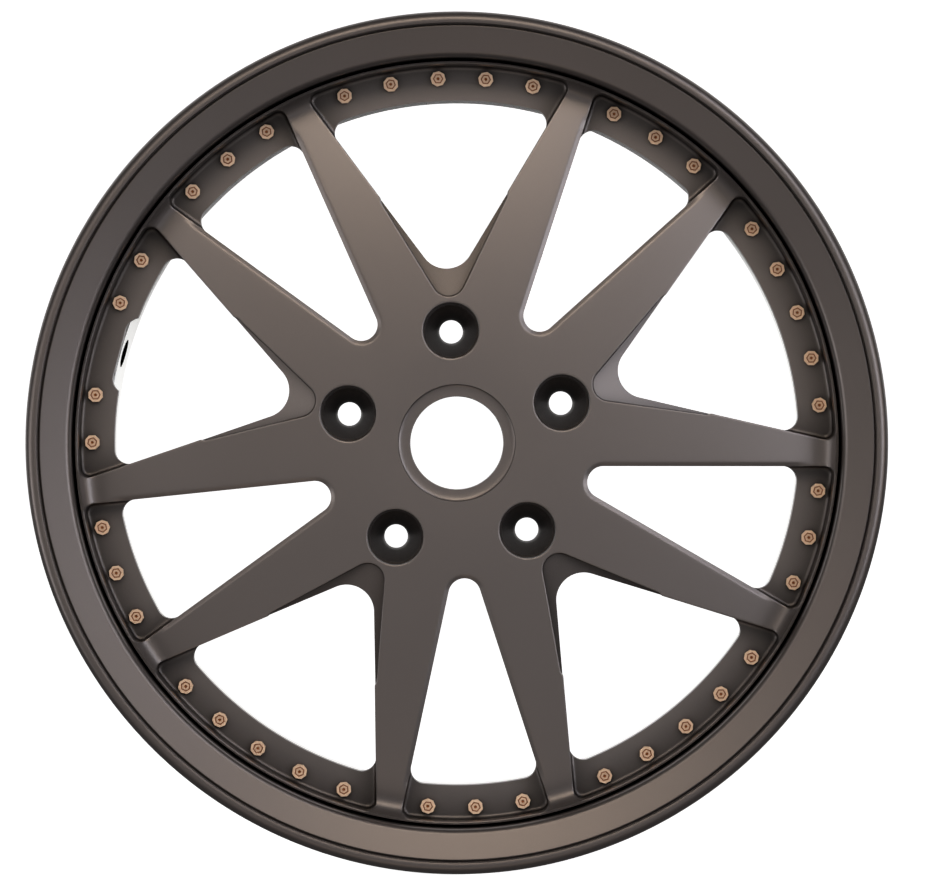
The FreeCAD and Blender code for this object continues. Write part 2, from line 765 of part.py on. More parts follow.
def primitive(body, kind, name, height, sizes):
    """A PartDesign primitive on the bolt circle, its axis along the wheel's axis.

    It starts at `height` along the axis and grows towards the front.
    """
    feature = body.newObject(f"PartDesign::{kind}", f"{body.Name}_{name}")
    feature.AttachmentSupport = (origin_feature(body, "XZ_Plane"), "")
    feature.MapMode = "FlatFace"
    feature.AttachmentOffset = FreeCAD.Placement(
        FreeCAD.Vector(0, BOLT_CIRCLE.value, -height.value), FreeCAD.Rotation())
    bind(feature, "AttachmentOffset.Base.y", BOLT_CIRCLE)
    bind(feature, "AttachmentOffset.Base.z", -height)
    for key, value in sizes.items():
        if isinstance(value, Size):
            bind(feature, key, value)
        else:
            setattr(feature, key, value)
    return feature


def prism(across_flats, sides, height):
    """Sizes of a prism with a regular outline."""
    return {"Polygon": sides, "Circumradius": circumradius(across_flats, sides), "Height": height}


def cylinder(radius, height):
    """Sizes of a cylinder."""
    return {"Radius": radius, "Height": height}


def bolt(doc):
    """One bolt at the top of the bolt circle: an eight-sided head with a ring-shaped socket."""
    body = make_body(doc, "bolt", 0.0)
    head_top = PAD_FLOOR - size("head_height")
    tip = NUT_SEAT + size("nut_height") + size("bolt_overhang")
    floor = head_top + size("socket_depth")
    primitive(body, "AdditivePrism", "head", PAD_FLOOR,
              prism(size("head_across_flats"), HEAD_SIDES, size("head_height")))
    primitive(body, "AdditiveCylinder", "shank", tip,
              cylinder(size("bolt_diameter") / 2, tip - PAD_FLOOR))
    primitive(body, "SubtractivePrism", "socket", floor,
              prism(size("socket_across_flats"), SOCKET_SIDES, size("socket_depth")))
    primitive(body, "AdditivePrism", "island", floor,
              prism(size("island_across_flats"), SOCKET_SIDES, size("socket_depth")))
    return body


def nut(doc):
    """One nut at the top of the bolt circle, against the rear half's web."""
    body = make_body(doc, "nut", 0.0)
    top = NUT_SEAT + size("nut_height")
    thread = size("bolt_diameter") / 2 + size("thread_clearance")
    primitive(body, "AdditivePrism", "flats", top,
              prism(size("nut_across_flats"), NUT_SIDES, size("nut_height")))
    primitive(body, "SubtractiveCylinder", "thread", top, cylinder(thread, size("nut_height")))
    return body


def fastener_row(doc, name, master, angles):
    """Copies of one fastener at the given angles about the wheel's axis, as one piece."""
    links = []
    for number, angle in enumerate(angles, start=1):
        link = doc.addObject("App::Link", f"{name}_{number}")
        link.LinkedObject = master
        link.Placement = FreeCAD.Placement(
            FreeCAD.Vector(0, 0, 0), FreeCAD.Rotation(FreeCAD.Vector(0, 1, 0), angle.value))
        bind(link, "Placement.Rotation.Angle", angle)
        links.append(link)
    row = doc.addObject("Part::Compound", name)
    row.Label = name
    row.Links = links
    return row


def fastener_rows():
    """Name and places of each row of fasteners: one to a window, but two at the valve notch."""
    wide_half = (BOLTS_IN_WIDE - 1) // 2
    narrow_half = (BOLTS_IN_NARROW - 1) // 2
    rows = [
        ("valve_window_lower", VALVE_TURN, range(-wide_half, 0)),
        ("valve_window_upper", VALVE_TURN, range(1, wide_half + 1)),
    ]
    for pair in range(PAIRS):
        turn = VALVE_TURN + pair * PAIR_STEP
        if pair > 0:
            rows.append((f"wide_window_{pair}", turn, range(-wide_half, wide_half + 1)))
        rows.append(
            (f"narrow_window_{pair + 1}", turn + PAIR_STEP / 2, range(-narrow_half, narrow_half + 1)))
    return rows


def fasteners(doc):
    """All bolts and nuts, in rows along the bolt circle."""
    pieces = []
    for kind, master in (("bolts", bolt(doc)), ("nuts", nut(doc))):
        for name, turn, steps in fastener_rows():
            angles = [size("bolt_pitch") * step + turn for step in steps]
            pieces.append(fastener_row(doc, f"{kind}_{name}", master, angles))
    return pieces


def check(doc, pieces):
    """Stop if any object failed or any piece has no valid solid."""
    for item in doc.Objects:
        if "Invalid" in item.State or "Error" in item.State:
            raise RuntimeError(f"{item.Label} did not build")
    for piece in pieces:
        if piece.Shape.isNull() or not piece.Shape.isValid() or not piece.Shape.Solids:
            raise RuntimeError(f"{piece.Label} has no valid solid")


def main():
    """Build the document, check it and write one STEP file for each piece."""
    doc = FreeCAD.newDocument("scooter_wheel_rim")
    make_sheet(doc)
    pieces = [centre_disc(doc), front_half(doc), rear_half(doc), seal(doc)]
    pieces += fasteners(doc)
    doc.recompute()
    check(doc, pieces)
    os.makedirs("parts", exist_ok=True)
    for piece in pieces:
        piece.Shape.exportStep(f"parts/{piece.Label}.step")
        print(piece.Label, len(piece.Shape.Solids), round(piece.Shape.Volume, 1))


main()
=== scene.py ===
"""Studio picture of a bolt-together scooter wheel rim.

The wheel keeps the CAD model's frame: its axis is Y, its front faces -Y and +Z is up. Sizes in the
classes are in millimetres and degrees, and meshes are written in metres. A height is measured from the
middle of the rim towards the front, and an angle about the axis clockwise from the top, as seen from the
front.
"""

import logging
import math
from collections.abc import Sequence
from dataclasses import dataclass
from enum import Enum
from typing import Any, ClassVar

import bmesh
import bpy
from mathutils import Matrix, Vector
from mathutils.geometry import delaunay_2d_cdt


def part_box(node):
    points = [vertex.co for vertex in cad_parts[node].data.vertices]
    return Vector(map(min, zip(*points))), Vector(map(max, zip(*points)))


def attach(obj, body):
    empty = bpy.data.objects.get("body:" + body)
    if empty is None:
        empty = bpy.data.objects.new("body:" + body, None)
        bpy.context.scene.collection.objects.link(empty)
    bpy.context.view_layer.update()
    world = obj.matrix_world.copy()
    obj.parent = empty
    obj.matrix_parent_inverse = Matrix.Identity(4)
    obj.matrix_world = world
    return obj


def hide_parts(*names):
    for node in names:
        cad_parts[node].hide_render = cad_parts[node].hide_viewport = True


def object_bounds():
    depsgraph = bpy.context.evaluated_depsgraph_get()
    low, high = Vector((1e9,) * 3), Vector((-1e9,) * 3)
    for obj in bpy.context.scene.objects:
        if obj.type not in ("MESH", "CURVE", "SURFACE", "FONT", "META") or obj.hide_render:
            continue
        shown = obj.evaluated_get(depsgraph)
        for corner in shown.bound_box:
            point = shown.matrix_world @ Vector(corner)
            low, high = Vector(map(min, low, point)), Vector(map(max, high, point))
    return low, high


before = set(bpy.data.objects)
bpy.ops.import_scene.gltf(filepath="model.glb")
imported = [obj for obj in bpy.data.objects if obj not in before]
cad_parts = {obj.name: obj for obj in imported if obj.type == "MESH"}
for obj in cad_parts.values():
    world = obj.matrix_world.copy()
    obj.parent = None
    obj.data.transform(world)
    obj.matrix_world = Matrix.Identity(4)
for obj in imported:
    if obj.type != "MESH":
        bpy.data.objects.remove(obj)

CAD_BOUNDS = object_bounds()

LOG = logging.getLogger("scooter_rim")

MM = 0.001
BODY = "root"
# Distances in millimetres at which points of a mesh or of a plan are one, and the slack for rounding.
WELD = 0.002
MERGE = 0.001
SLACK = 1e-7
# Angle in degrees past which an edge stays sharp.
SHARP = 32.0
FULL_TURN = 360.0
PAIRS = 5
PAIR_STEP = FULL_TURN / PAIRS
HALF_PAIR = math.radians(PAIR_STEP / 2)
VALVE_TURN = -PAIR_STEP
# Bolts in a wide and in a narrow window.
WIDE_ROW, NARROW_ROW = 5, 3
# Mix and Random Value nodes have sockets of one name for each kind of value. These are the ones for
# colours and for floats.
COLOUR_A, COLOUR_B, COLOUR_OUT = 6, 7, 2
FLOAT_MIN, FLOAT_MAX, FLOAT_OUT = 2, 3, 1

Plan = tuple[float, float]
Point = tuple[float, float, float]


class Region(Enum):
    """What a spot of the centre disc's front belongs to."""

    TOP = "spoke and hub face"
    PAD = "bolt pad"
    LEDGE = "ramp between two spokes"
    LUG = "lug pocket"
    OPEN = "open window or hole"


class Back(Enum):
    """What a spot of the centre disc's back belongs to."""

    PLAIN = "spoke backs and bolting face"
    BOSS = "raised hub face"


def node_span(node: str) -> tuple[float, float, float]:
    """Outer radius and the two ends along the axis of a CAD node.

    Args:
        node: Name of a CAD node that is centred on the wheel's axis.

    Returns:
        The radius, the height of the front end and the height of the back end, in millimetres.
    """
    low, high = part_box(node)
    return high[2] / MM, -low[1] / MM, -high[1] / MM


def srgb(code: str) -> tuple[float, float, float, float]:
    """Turn an sRGB hex colour into Blender's linear values.

    Args:
        code: Six hex digits.

    Returns:
        Linear red, green, blue and an alpha of one.
    """
    values = [int(code[place:place + 2], 16) / 255 for place in (0, 2, 4)]
    linear = [v / 12.92 if v <= 0.04045 else ((v + 0.055) / 1.055) ** 2.4 for v in values]
    return (*linear, 1.0)


def add_node(tree: bpy.types.NodeTree, kind: str, sockets: dict[Any, Any] | None = None,
             **settings: Any) -> bpy.types.Node:
    """Add a node, set it up and link it.

    Args:
        tree: Node tree that gets the node.
        kind: Blender's name of the node type.
        sockets: Inputs by name or number, each with a value or with the output that feeds it.
        **settings: Properties of the node.

    Returns:
        The new node.
    """
    node = tree.nodes.new(kind)
    for key, value in settings.items():
        setattr(node, key, value)
    for key, value in (sockets or {}).items():
        if isinstance(value, bpy.types.NodeSocket):
            tree.links.new(value, node.inputs[key])
        else:
            node.inputs[key].default_value = value
    return node


def smooth_step(low: float, high: float, value: float) -> float:
    """Smooth rise from 0 at `low` to 1 at `high`."""
    share = min(max((value - low) / (high - low), 0.0), 1.0)
    return share * share * (3 - 2 * share)


def quarter_round(distance: float, radius: float) -> float:
    """How far a rounded edge has dropped at a distance from the edge.

    Args:
        distance: Distance from the edge, across the surface.
        radius: Radius of the rounding.

    Returns:
        The drop, from the full radius at the edge to 0 where the rounding ends.
    """
    if distance >= radius:
        return 0.0
    across = radius - max(distance, 0.0)
    return radius - math.sqrt(radius ** 2 - across ** 2)


def arc_points(centre: Plan, radius: float, first: float, last: float, chord: float) -> list[Plan]:
    """Points along an arc, both ends included.

    Args:
        centre: Centre of the arc.
        radius: Radius of the arc.
        first: Angle of the first point, in radians from the first axis.
        last: Angle of the last point.
        chord: Longest distance between neighbouring points.

    Returns:
        The points in order.
    """
    count = max(2, math.ceil(abs(last - first) * radius / chord))
    angles = [first + (last - first) * step / count for step in range(count + 1)]
    return [(centre[0] + radius * math.cos(a), centre[1] + radius * math.sin(a)) for a in angles]


def line_points(start: Plan, end: Plan, chord: float) -> list[Plan]:
    """Evenly spaced points along a straight line, both ends included."""
    count = max(1, math.ceil(math.dist(start, end) / chord))
    return [tuple(a + (b - a) * step / count for a, b in zip(start, end)) for step in range(count + 1)]


def make_piece(name: str, points: Sequence[Point], faces: Sequence[Sequence[int]]) -> bpy.types.Object:
    """Make a mesh object from points in millimetres, with doubles merged and smooth shading.

    Args:
        name: Name of the object and its mesh.
        points: Places in the wheel's frame.
        faces: Corner numbers of each face, counter-clockwise from outside.

    Returns:
        The new object, linked to the scene.
    """
    mesh = bpy.data.meshes.new(name)
    mesh.from_pydata([[value * MM for value in point] for point in points], [], faces)
    work = bmesh.new()
    work.from_mesh(mesh)
    bmesh.ops.remove_doubles(work, verts=work.verts, dist=WELD * MM)
    bmesh.ops.dissolve_degenerate(work, edges=work.edges, dist=WELD * MM / 10)
    for face in work.faces:
        face.smooth = True
    work.to_mesh(mesh)
    work.free()
    mesh.set_sharp_from_angle(angle=math.radians(SHARP))
    piece = bpy.data.objects.new(name, mesh)
    bpy.context.scene.collection.objects.link(piece)
    return piece


def finish_piece(piece: bpy.types.Object, material: bpy.types.Material, slot: str, *nodes: str) -> None:
    """Give a piece its finish and let it stand for its CAD nodes.

    Args:
        piece: Finished mesh object.
        material: Material for the whole piece.
        slot: Not used.
        *nodes: CAD nodes that the piece replaces.
    """
    if material.name not in piece.data.materials:
        piece.data.materials.append(material)
    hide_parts(*nodes)
    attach(piece, BODY)
    LOG.info("%s: %d faces", piece.name, len(piece.data.polygons))


@dataclass(frozen=True)
class Finish:
    """A finish whose two tones and roughness follow patterns on the surface."""

    name: str
    tone: str
    drift: str
    roughness: float
    spread: float
    metallic: float

    def material(self) -> bpy.types.Material:
        """Build the material."""
        raise NotImplementedError

    def start(self) -> tuple[bpy.types.Material, bpy.types.Node, bpy.types.NodeSocket]:
        """Begin the material.

        Returns:
            The material, its shader and the output with places on the piece.
        """
        material = bpy.data.materials.new(self.name)
        material.use_nodes = True
        shader = material.node_tree.nodes["Principled BSDF"]
        shader.inputs["Metallic"].default_value = self.metallic
        shader.inputs["Roughness"].default_value = self.roughness
        return material, shader, add_node(material.node_tree, "ShaderNodeTexCoord").outputs["Object"]

    def vary(self, shader: bpy.types.Node, tone: bpy.types.NodeSocket,
             rough: bpy.types.NodeSocket) -> bpy.types.NodeSocket:
        """Let the tone and the roughness follow patterns.

        Args:
            shader: Shader of the material.
            tone: Pattern that mixes the two tones.
            rough: Pattern that the roughness follows.

        Returns:
            Output with the mixed tone.
        """
        tree = shader.id_data
        if self.spread > 0:
            span = add_node(tree, "ShaderNodeMapRange",
                            {"Value": rough, "To Min": self.roughness - self.spread,
                             "To Max": self.roughness + self.spread})
            tree.links.new(span.outputs["Result"], shader.inputs["Roughness"])
        mixed = add_node(tree, "ShaderNodeMix", {"Factor": tone, COLOUR_A: srgb(self.tone),
                                                 COLOUR_B: srgb(self.drift)}, data_type="RGBA")
        return mixed.outputs[COLOUR_OUT]


@dataclass(frozen=True)
class SatinCoat(Finish):
    """Dark satin coating on aluminium: soft broad sheen, fine grain, faint drift of tone, painted shade in
    crevices.
    """

    roughness: float = 0.39
    spread: float = 0.05
    metallic: float = 0.85
    grain: float = 0.55
    grain_detail: float = 3.0
    grain_height: float = 0.012
    grain_strength: float = 0.6
    cloud: float = 60.0
    # Painted shade in crevices: how far the occlusion looks, how hard it darkens, its tone and its rays.
    crevice: float = 14.0
    crevice_power: float = 1.2
    painted_shade_tone: str = "0a0807"
    crevice_rays: int = 4

    def material(self) -> bpy.types.Material:
        """Build the material.

        Returns:
            The material.
        """
        material, shader, place = self.start()
        tree = material.node_tree
        # The coat is sprayed, so its tone drifts slowly across the piece.
        cloud = add_node(tree, "ShaderNodeTexNoise", {"Vector": place, "Scale": 1 / (self.cloud * MM)})
        # The grain of the coat is finer than this; it is drawn coarser so that it shows.
        grain = add_node(tree, "ShaderNodeTexNoise", {"Vector": place, "Scale": 1 / (self.grain * MM),
                                                      "Detail": self.grain_detail})
        tone = self.vary(shader, cloud.outputs["Fac"], grain.outputs["Fac"])
        # Painted shade: ambient occlusion darkens the base colour in narrow gaps and inner corners, so they
        # look deep.
        room = add_node(tree, "ShaderNodeAmbientOcclusion", {"Distance": self.crevice * MM},
                        samples=self.crevice_rays)
        share = add_node(tree, "ShaderNodeMath", {0: room.outputs["AO"], 1: self.crevice_power},
                         operation="POWER")
        shaded = add_node(tree, "ShaderNodeMix", {"Factor": share.outputs[0], COLOUR_B: tone,
                                                  COLOUR_A: srgb(self.painted_shade_tone)}, data_type="RGBA")
        tree.links.new(shaded.outputs[COLOUR_OUT], shader.inputs["Base Color"])
        bump = add_node(tree, "ShaderNodeBump", {"Height": grain.outputs["Fac"],
                                                 "Distance": self.grain_height * MM,
                                                 "Strength": self.grain_strength})
        tree.links.new(bump.outputs["Normal"], shader.inputs["Normal"])
        return material


@dataclass(frozen=True)
class TurnedAluminium(Finish):
    """Bare turned aluminium: bright metal with fine rings left by the lathe tool, and painted shade on the
    valve hole's wall.
    """

    name: str = "bare_turned_aluminium"
    tone: str = "e2e1de"
    drift: str = "d3d2cf"
    roughness: float = 0.16
    spread: float = 0.05
    metallic: float = 1.0
    # Tone of the painted shade on the valve hole's wall.
    hole: str = "14110f"
    feed: float = 0.6
    streak: float = 125.0

    HOLE_SHADE: ClassVar[str] = "painted_hole_shade"

    def material(self) -> bpy.types.Material:
        """Build the material.

        Returns:
            The material.
        """
        material, shader, place = self.start()
        tree = material.node_tree
        # Noise stretched round the axis: rings along Y, broken up a little as a real cut is.
        scale = [1 / (size * MM) for size in (self.streak, self.feed, self.streak)]
        rings = add_node(tree, "ShaderNodeMapping", {"Vector": place, "Scale": scale})
        cut = add_node(tree, "ShaderNodeTexNoise", {"Vector": rings.outputs[0], "Scale": 1.0}).outputs["Fac"]
        tone = self.vary(shader, cut, cut)
        # Painted shade: the valve hole's drilled wall is painted nearly black, where the hole lies in shade.
        hole_shade = add_node(tree, "ShaderNodeAttribute", attribute_name=self.HOLE_SHADE)
        wall = add_node(tree, "ShaderNodeMix", {"Factor": hole_shade.outputs["Fac"], COLOUR_A: tone,
                                                COLOUR_B: srgb(self.hole)}, data_type="RGBA")
        tree.links.new(wall.outputs[COLOUR_OUT], shader.inputs["Base Color"])
        return material


@dataclass(frozen=True)
class PlatedSteel(Finish):
    """Plated steel fastener: bright on its faces, with painted shade down a socket or bore."""

    spread: float = 0.07
    metallic: float = 0.75
    scratch: float = 0.35
    wear: float = 0.35

    def material(self) -> bpy.types.Material:
        """Build the material.

        Returns:
            The material.
        """
        material, shader, place = self.start()
        tree = material.node_tree
        depth = add_node(tree, "ShaderNodeAttribute", attribute_name=Fastener.SOCKET_SHADE).outputs["Fac"]
        grain = add_node(tree, "ShaderNodeTexNoise",
                         {"Vector": place, "Scale": 1 / (self.scratch * MM)}).outputs["Fac"]
        # Plating wears a little unevenly along the grain, and the socket gets painted shade, so the tone
        # follows both.
        share = add_node(tree, "ShaderNodeMath", {0: grain, 1: self.wear, 2: depth},
                         operation="MULTIPLY_ADD", use_clamp=True)
        tree.links.new(self.vary(shader, share.outputs[0], grain), shader.inputs["Base Color"])
        return material


@dataclass(frozen=True)
class SealRubber(Finish):
    """Moulded black rubber: matte, with a fine uneven skin."""

    name: str = "moulded_black_rubber"
    tone: str = "141414"
    drift: str = "1d1c1b"
    roughness: float = 0.8
    spread: float = 0.0
    metallic: float = 0.0
    skin: float = 1.5

    def material(self) -> bpy.types.Material:
        """Build the material.

        Returns:
            The material.
        """
        material, shader, place = self.start()
        skin = add_node(material.node_tree, "ShaderNodeTexNoise",
                        {"Vector": place, "Scale": 1 / (self.skin * MM)}).outputs["Fac"]
        material.node_tree.links.new(self.vary(shader, skin, skin), shader.inputs["Base Color"])
        return material


@dataclass(frozen=True)
class ValveNotch:
    """Relief beside the valve: a rounded rectangle cut outwards into an inner edge."""

    half_width: float = 15.2
    corner: float = 5.9
    margin: float = 1.1
    halvings: int = 40

    def widest(self, edge: float) -> float:
        """An angle from the valve, in radians, that is safely past the notch in an inner edge."""
        return math.asin(self.half_width / edge) * self.margin

    def half_span(self, edge: float, reach: float) -> float:
        """Angle from the valve to where the notch runs out into the plain edge.

        Args:
            edge: Radius of the plain inner edge.
            reach: How far out the flat bottom of the notch lies.

        Returns:
            The angle in radians.
        """
        low, high = 0.0, self.widest(edge)
        for _ in range(self.halvings):
            middle = (low + high) / 2
            if self.radius(middle, edge, reach) > edge:
                low = middle
            else:
                high = middle
        return low

    def radius(self, angle: float, edge: float, reach: float) -> float:
        """Radius of the relieved inner edge.

        Args:
            angle: Angle from the valve, in radians.
            edge: Radius of the plain inner edge.
            reach: How far out the flat bottom of the notch lies.

        Returns:
            Distance from the axis to the edge at that angle.
        """
        angle = abs((angle + math.pi) % math.tau - math.pi)
        if angle > self.widest(edge):
            return edge
        inset = self.half_width - self.corner
        flat = reach / math.cos(angle)
        if flat * math.sin(angle) <= inset:
            return max(edge, flat)
        across, along = math.sin(angle), math.cos(angle)
        shoulder = reach - self.corner
        towards = inset * across + shoulder * along
        room = towards ** 2 - (inset ** 2 + shoulder ** 2 - self.corner ** 2)
        if room >= 0:
            return max(edge, towards + math.sqrt(room))
        return max(edge, self.half_width / across)


@dataclass(frozen=True)
class Window:
    """Plan of a window or pad: sides that open from an apex, a round tip, and an arc about the axis."""

    apex: float
    half_angle: float
    tip: float
    reach: float
    corner: float
    turn: float = 0.0

    def grown(self, by: float) -> "Window":
        """The same plan with its outline moved outwards by a distance."""
        apex = self.apex - by / math.sin(self.slope)
        return Window(apex, self.half_angle, self.tip + by, self.reach + by, self.corner + by, self.turn)

    @property
    def slope(self) -> float:
        """Half angle in radians."""
        return math.radians(self.half_angle)

    @property
    def tip_centre(self) -> float:
        """Place of the tip's centre on the window's own axis."""
        return self.apex + self.tip / math.sin(self.slope)

    @property
    def corner_centre(self) -> Plan:
        """Centre of the corner's rounding, on the clockwise side."""
        inner_apex = self.apex + self.corner / math.sin(self.slope)
        inner_reach = self.reach - self.corner
        run = math.sqrt(inner_reach ** 2 - (inner_apex * math.sin(self.slope)) ** 2)
        along = run - inner_apex * math.cos(self.slope)
        return along * math.sin(self.slope), inner_apex + along * math.cos(self.slope)

    def local(self, point: Plan) -> Plan:
        """A point in the window's own axes, folded to its clockwise side.

        Args:
            point: Plan point of the sector.

        Returns:
            Distance across from the window's axis and place along it.
        """
        turn = math.radians(self.turn)
        across = point[0] * math.cos(turn) - point[1] * math.sin(turn)
        along = point[0] * math.sin(turn) + point[1] * math.cos(turn)
        return abs(across), along

    def distance(self, point: Plan) -> float:
        """Distance from the outline, negative inside.

        Args:
            point: Plan point of the sector.

        Returns:
            The signed distance in millimetres.
        """
        across, along = self.local(point)
        sine, cosine = math.sin(self.slope), math.cos(self.slope)
        below_tip = across * sine + (along - self.tip_centre) * cosine
        if below_tip < 0:
            return math.hypot(across, along - self.tip_centre) - self.tip
        centre = self.corner_centre
        off = across - centre[0], along - centre[1]
        past_side = off[0] * sine + off[1] * cosine > 0
        past_rim = off[0] * centre[1] - off[1] * centre[0] > 0
        if past_side and past_rim:
            return math.hypot(*off) - self.corner
        side = across * cosine - (along - self.apex) * sine
        return max(side, math.hypot(across, along) - self.reach)

    def half_outline(self, side: int, chord: float, curl: float) -> list[Plan]:
        """Points along one half of the outline, from the tip to the arc about the axis.

        Args:
            side: 1 for the clockwise half and -1 for the other.
            chord: Spacing on straight runs and on the arc about the axis.
            curl: Spacing on the tip and the corner.

        Returns:
            Plan points of the sector.
        """
        centre = self.corner_centre
        rim_angle = math.atan2(centre[1], centre[0])
        tip = arc_points((0.0, self.tip_centre), self.tip, -math.pi / 2, -self.slope, curl)
        corner = arc_points(centre, self.corner, -self.slope, rim_angle, curl)
        rim = arc_points((0.0, 0.0), self.reach, rim_angle, math.pi / 2, chord)
        path = tip + line_points(tip[-1], corner[0], chord)[1:-1] + corner + rim[1:]
        turn = math.radians(self.turn)
        cosine, sine = math.cos(turn), math.sin(turn)
        return [(side * a * cosine + b * sine, b * cosine - side * a * sine) for a, b in path]


@dataclass
class CentreDisc:
    """The forged centre disc: hub, spokes in pairs, bolt pads, ramps, lug pockets and bore."""

    finish: Finish
    slot: str = "coated_aluminium_disc"
    node: str = "centre_disc"
    bore: float = 18.1
    bore_flare: float = 4.6
    flare_depth: float = 1.2
    hub_flat: float = 33.7
    crown_radius: float = 730.0
    fold: float = 141.0
    hub_rise: float = 10.0
    fold_blend: float = 2.5
    kick_slope: float = 57.0
    kick_height: float = 4.0
    ring_edge: float = 1.0
    pad_drop: float = 8.0
    pad_edge: float = 133.6
    pad_corner: float = 3.6
    pad_fillet: float = 1.6
    window_corner: float = 5.5
    ledge_corner: float = 3.8
    boss: float = 51.5
    boss_height: float = 3.0
    bevel: float = 1.6
    bevel_blend: float = 0.3
    bevel_fall: float = 0.45
    bevel_fade: tuple[float, float] = (131.6, 138.0)
    edge: float = 0.4
    ledge_edge: float = 0.3
    ledge_step: float = 2.6
    ledge_slope: float = 22.0
    lug_circle: float = 43.5
    lug_pocket: float = 10.85
    lug_shelf: float = 10.05
    lug_hole: float = 4.6
    lug_depth: float = 12.0
    lug_seat_angle: float = 30.0
    seat_rings: int = 6
    kick_rings: int = 10
    notch_reach: float = 136.4
    notch_steps: int = 40
    # Apex, half angle and radius of the tip of each plan, and how far out the ledge reaches.
    wide_plan: tuple[float, float, float] = (59.25, 33.7, 10.55)
    narrow_plan: tuple[float, float, float] = (34.6, 15.0, 6.25)
    ledge_plan: tuple[float, float, float, float] = (49.5, 28.7, 6.6, 101.6)
    # The mesh's spacing, and the shares of an edge, bevel, fillet or flare at which it has a line.
    chord: float = 1.5
    curl: float = 0.45
    lug_curl: float = 0.72
    ring_turn: float = 0.012
    fill: float = 3.2
    flare_hold: float = 0.3
    edge_lines: tuple[float, ...] = (0.0, 0.3, 1.0, 2.0)
    bevel_lines: tuple[float, ...] = (0.6, 0.85, 1.0, 1.2, 1.6)
    fillet_lines: tuple[float, ...] = (0.12, 0.35, 0.65, 1.0, 1.4)
    flare_lines: tuple[float, ...] = (0.0, 0.2, 0.4, 0.6, 0.75, 0.87, 0.95, 1.0)

    def __post_init__(self) -> None:
        """Take the overall sizes from the frame and work out the plans."""
        self.radius, self.hub_face, self.mount_face = node_span(self.node)
        self.spoke_end = self.hub_face - self.hub_rise
        self.ring_height = self.spoke_end + self.kick_height
        self.pad_floor = self.spoke_end - self.pad_drop
        self.seat = self.mount_face + self.boss_height
        self.lug_floor = self.hub_face - self.lug_depth
        self.pocket = self.radius - self.ring_edge
        turn = PAIR_STEP / 2
        self.wide_pad = Window(*self.wide_plan, self.pocket, self.pad_corner)
        self.wide_window = Window(*self.wide_plan, self.pad_edge, self.window_corner)
        self.narrow_pad = Window(*self.narrow_plan, self.pocket, self.pad_corner, turn)
        self.narrow_window = Window(*self.narrow_plan, self.pad_edge, self.window_corner, turn)
        self.ledge = Window(*self.ledge_plan, self.ledge_corner)
        self.notch = ValveNotch()
        self.crown = self.arc_centre((self.hub_flat, self.hub_face), (self.fold, self.spoke_end),
                                     self.crown_radius)

    @staticmethod
    def arc_centre(start: Plan, end: Plan, radius: float) -> Plan:
        """Centre of an arc through two points of the section, behind the line between them.

        Args:
            start: Radius and height of the first point.
            end: Radius and height of the last point.
            radius: Radius of the arc.

        Returns:
            Radius and height of the centre.
        """
        run, rise = end[0] - start[0], end[1] - start[1]
        chord = math.hypot(run, rise)
        off = math.sqrt(radius ** 2 - (chord / 2) ** 2) / chord
        return (start[0] + end[0]) / 2 + rise * off, (start[1] + end[1]) / 2 - run * off

    def section(self, radius: float) -> float:
        """Height of the turned front face, before anything is milled into it.

        Args:
            radius: Distance from the axis.

        Returns:
            The height in millimetres.
        """
        if radius < self.bore + self.bore_flare:
            share = max(radius - self.bore, 0.0) / self.bore_flare
            return self.hub_face - self.flare_depth * (1 - share ** 3) ** (1 / 3)
        if radius < self.hub_flat:
            return self.hub_face
        start = self.fold - self.fold_blend
        off = min(radius, start) - self.crown[0]
        deep = math.sqrt(self.crown_radius ** 2 - off ** 2)
        if radius < start:
            return self.crown[1] + deep
        if radius < self.pocket:
            run = self.pocket - start
            share = (radius - start) / run
            falling, rising = -off / deep * run, math.tan(math.radians(self.kick_slope)) * run
            level = smooth_step(0.0, 1.0, share)
            bend = share * (1 - share) * ((1 - share) * falling - share * rising)
            return (1 - level) * (self.crown[1] + deep) + level * self.ring_height + bend
        return self.ring_height

    def inner_edge(self, point: Plan, valve: bool) -> float:
        """Radius of the pads' inner edge in the direction of a point.

        Args:
            point: Plan point of the sector.
            valve: Whether the sector has the valve notch.

        Returns:
            Distance from the axis to the edge.
        """
        if not valve:
            return self.pad_edge
        return self.notch.radius(math.atan2(point[0], point[1]), self.pad_edge, self.notch_reach)

    def region(self, point: Plan, valve: bool) -> Region:
        """What a plan point of the sector belongs to.

        Args:
            point: Plan point.
            valve: Whether the sector has the valve notch.

        Returns:
            The region.
        """
        radius = math.hypot(*point)
        in_wide = self.wide_pad.distance(point) < 0
        in_notch = in_wide and self.pad_edge < radius < self.inner_edge(point, valve) - SLACK
        in_window = min(self.wide_window.distance(point), self.narrow_window.distance(point)) < 0
        if radius < self.bore or in_window or in_notch:
            return Region.OPEN
        if in_wide or self.narrow_pad.distance(point) < 0:
            return Region.PAD
        if self.ledge.distance(point) < 0:
            return Region.LEDGE
        from_lug = math.hypot(point[0], point[1] - self.lug_circle)
        if from_lug < self.lug_hole:
            return Region.OPEN
        return Region.LUG if from_lug < self.lug_pocket else Region.TOP

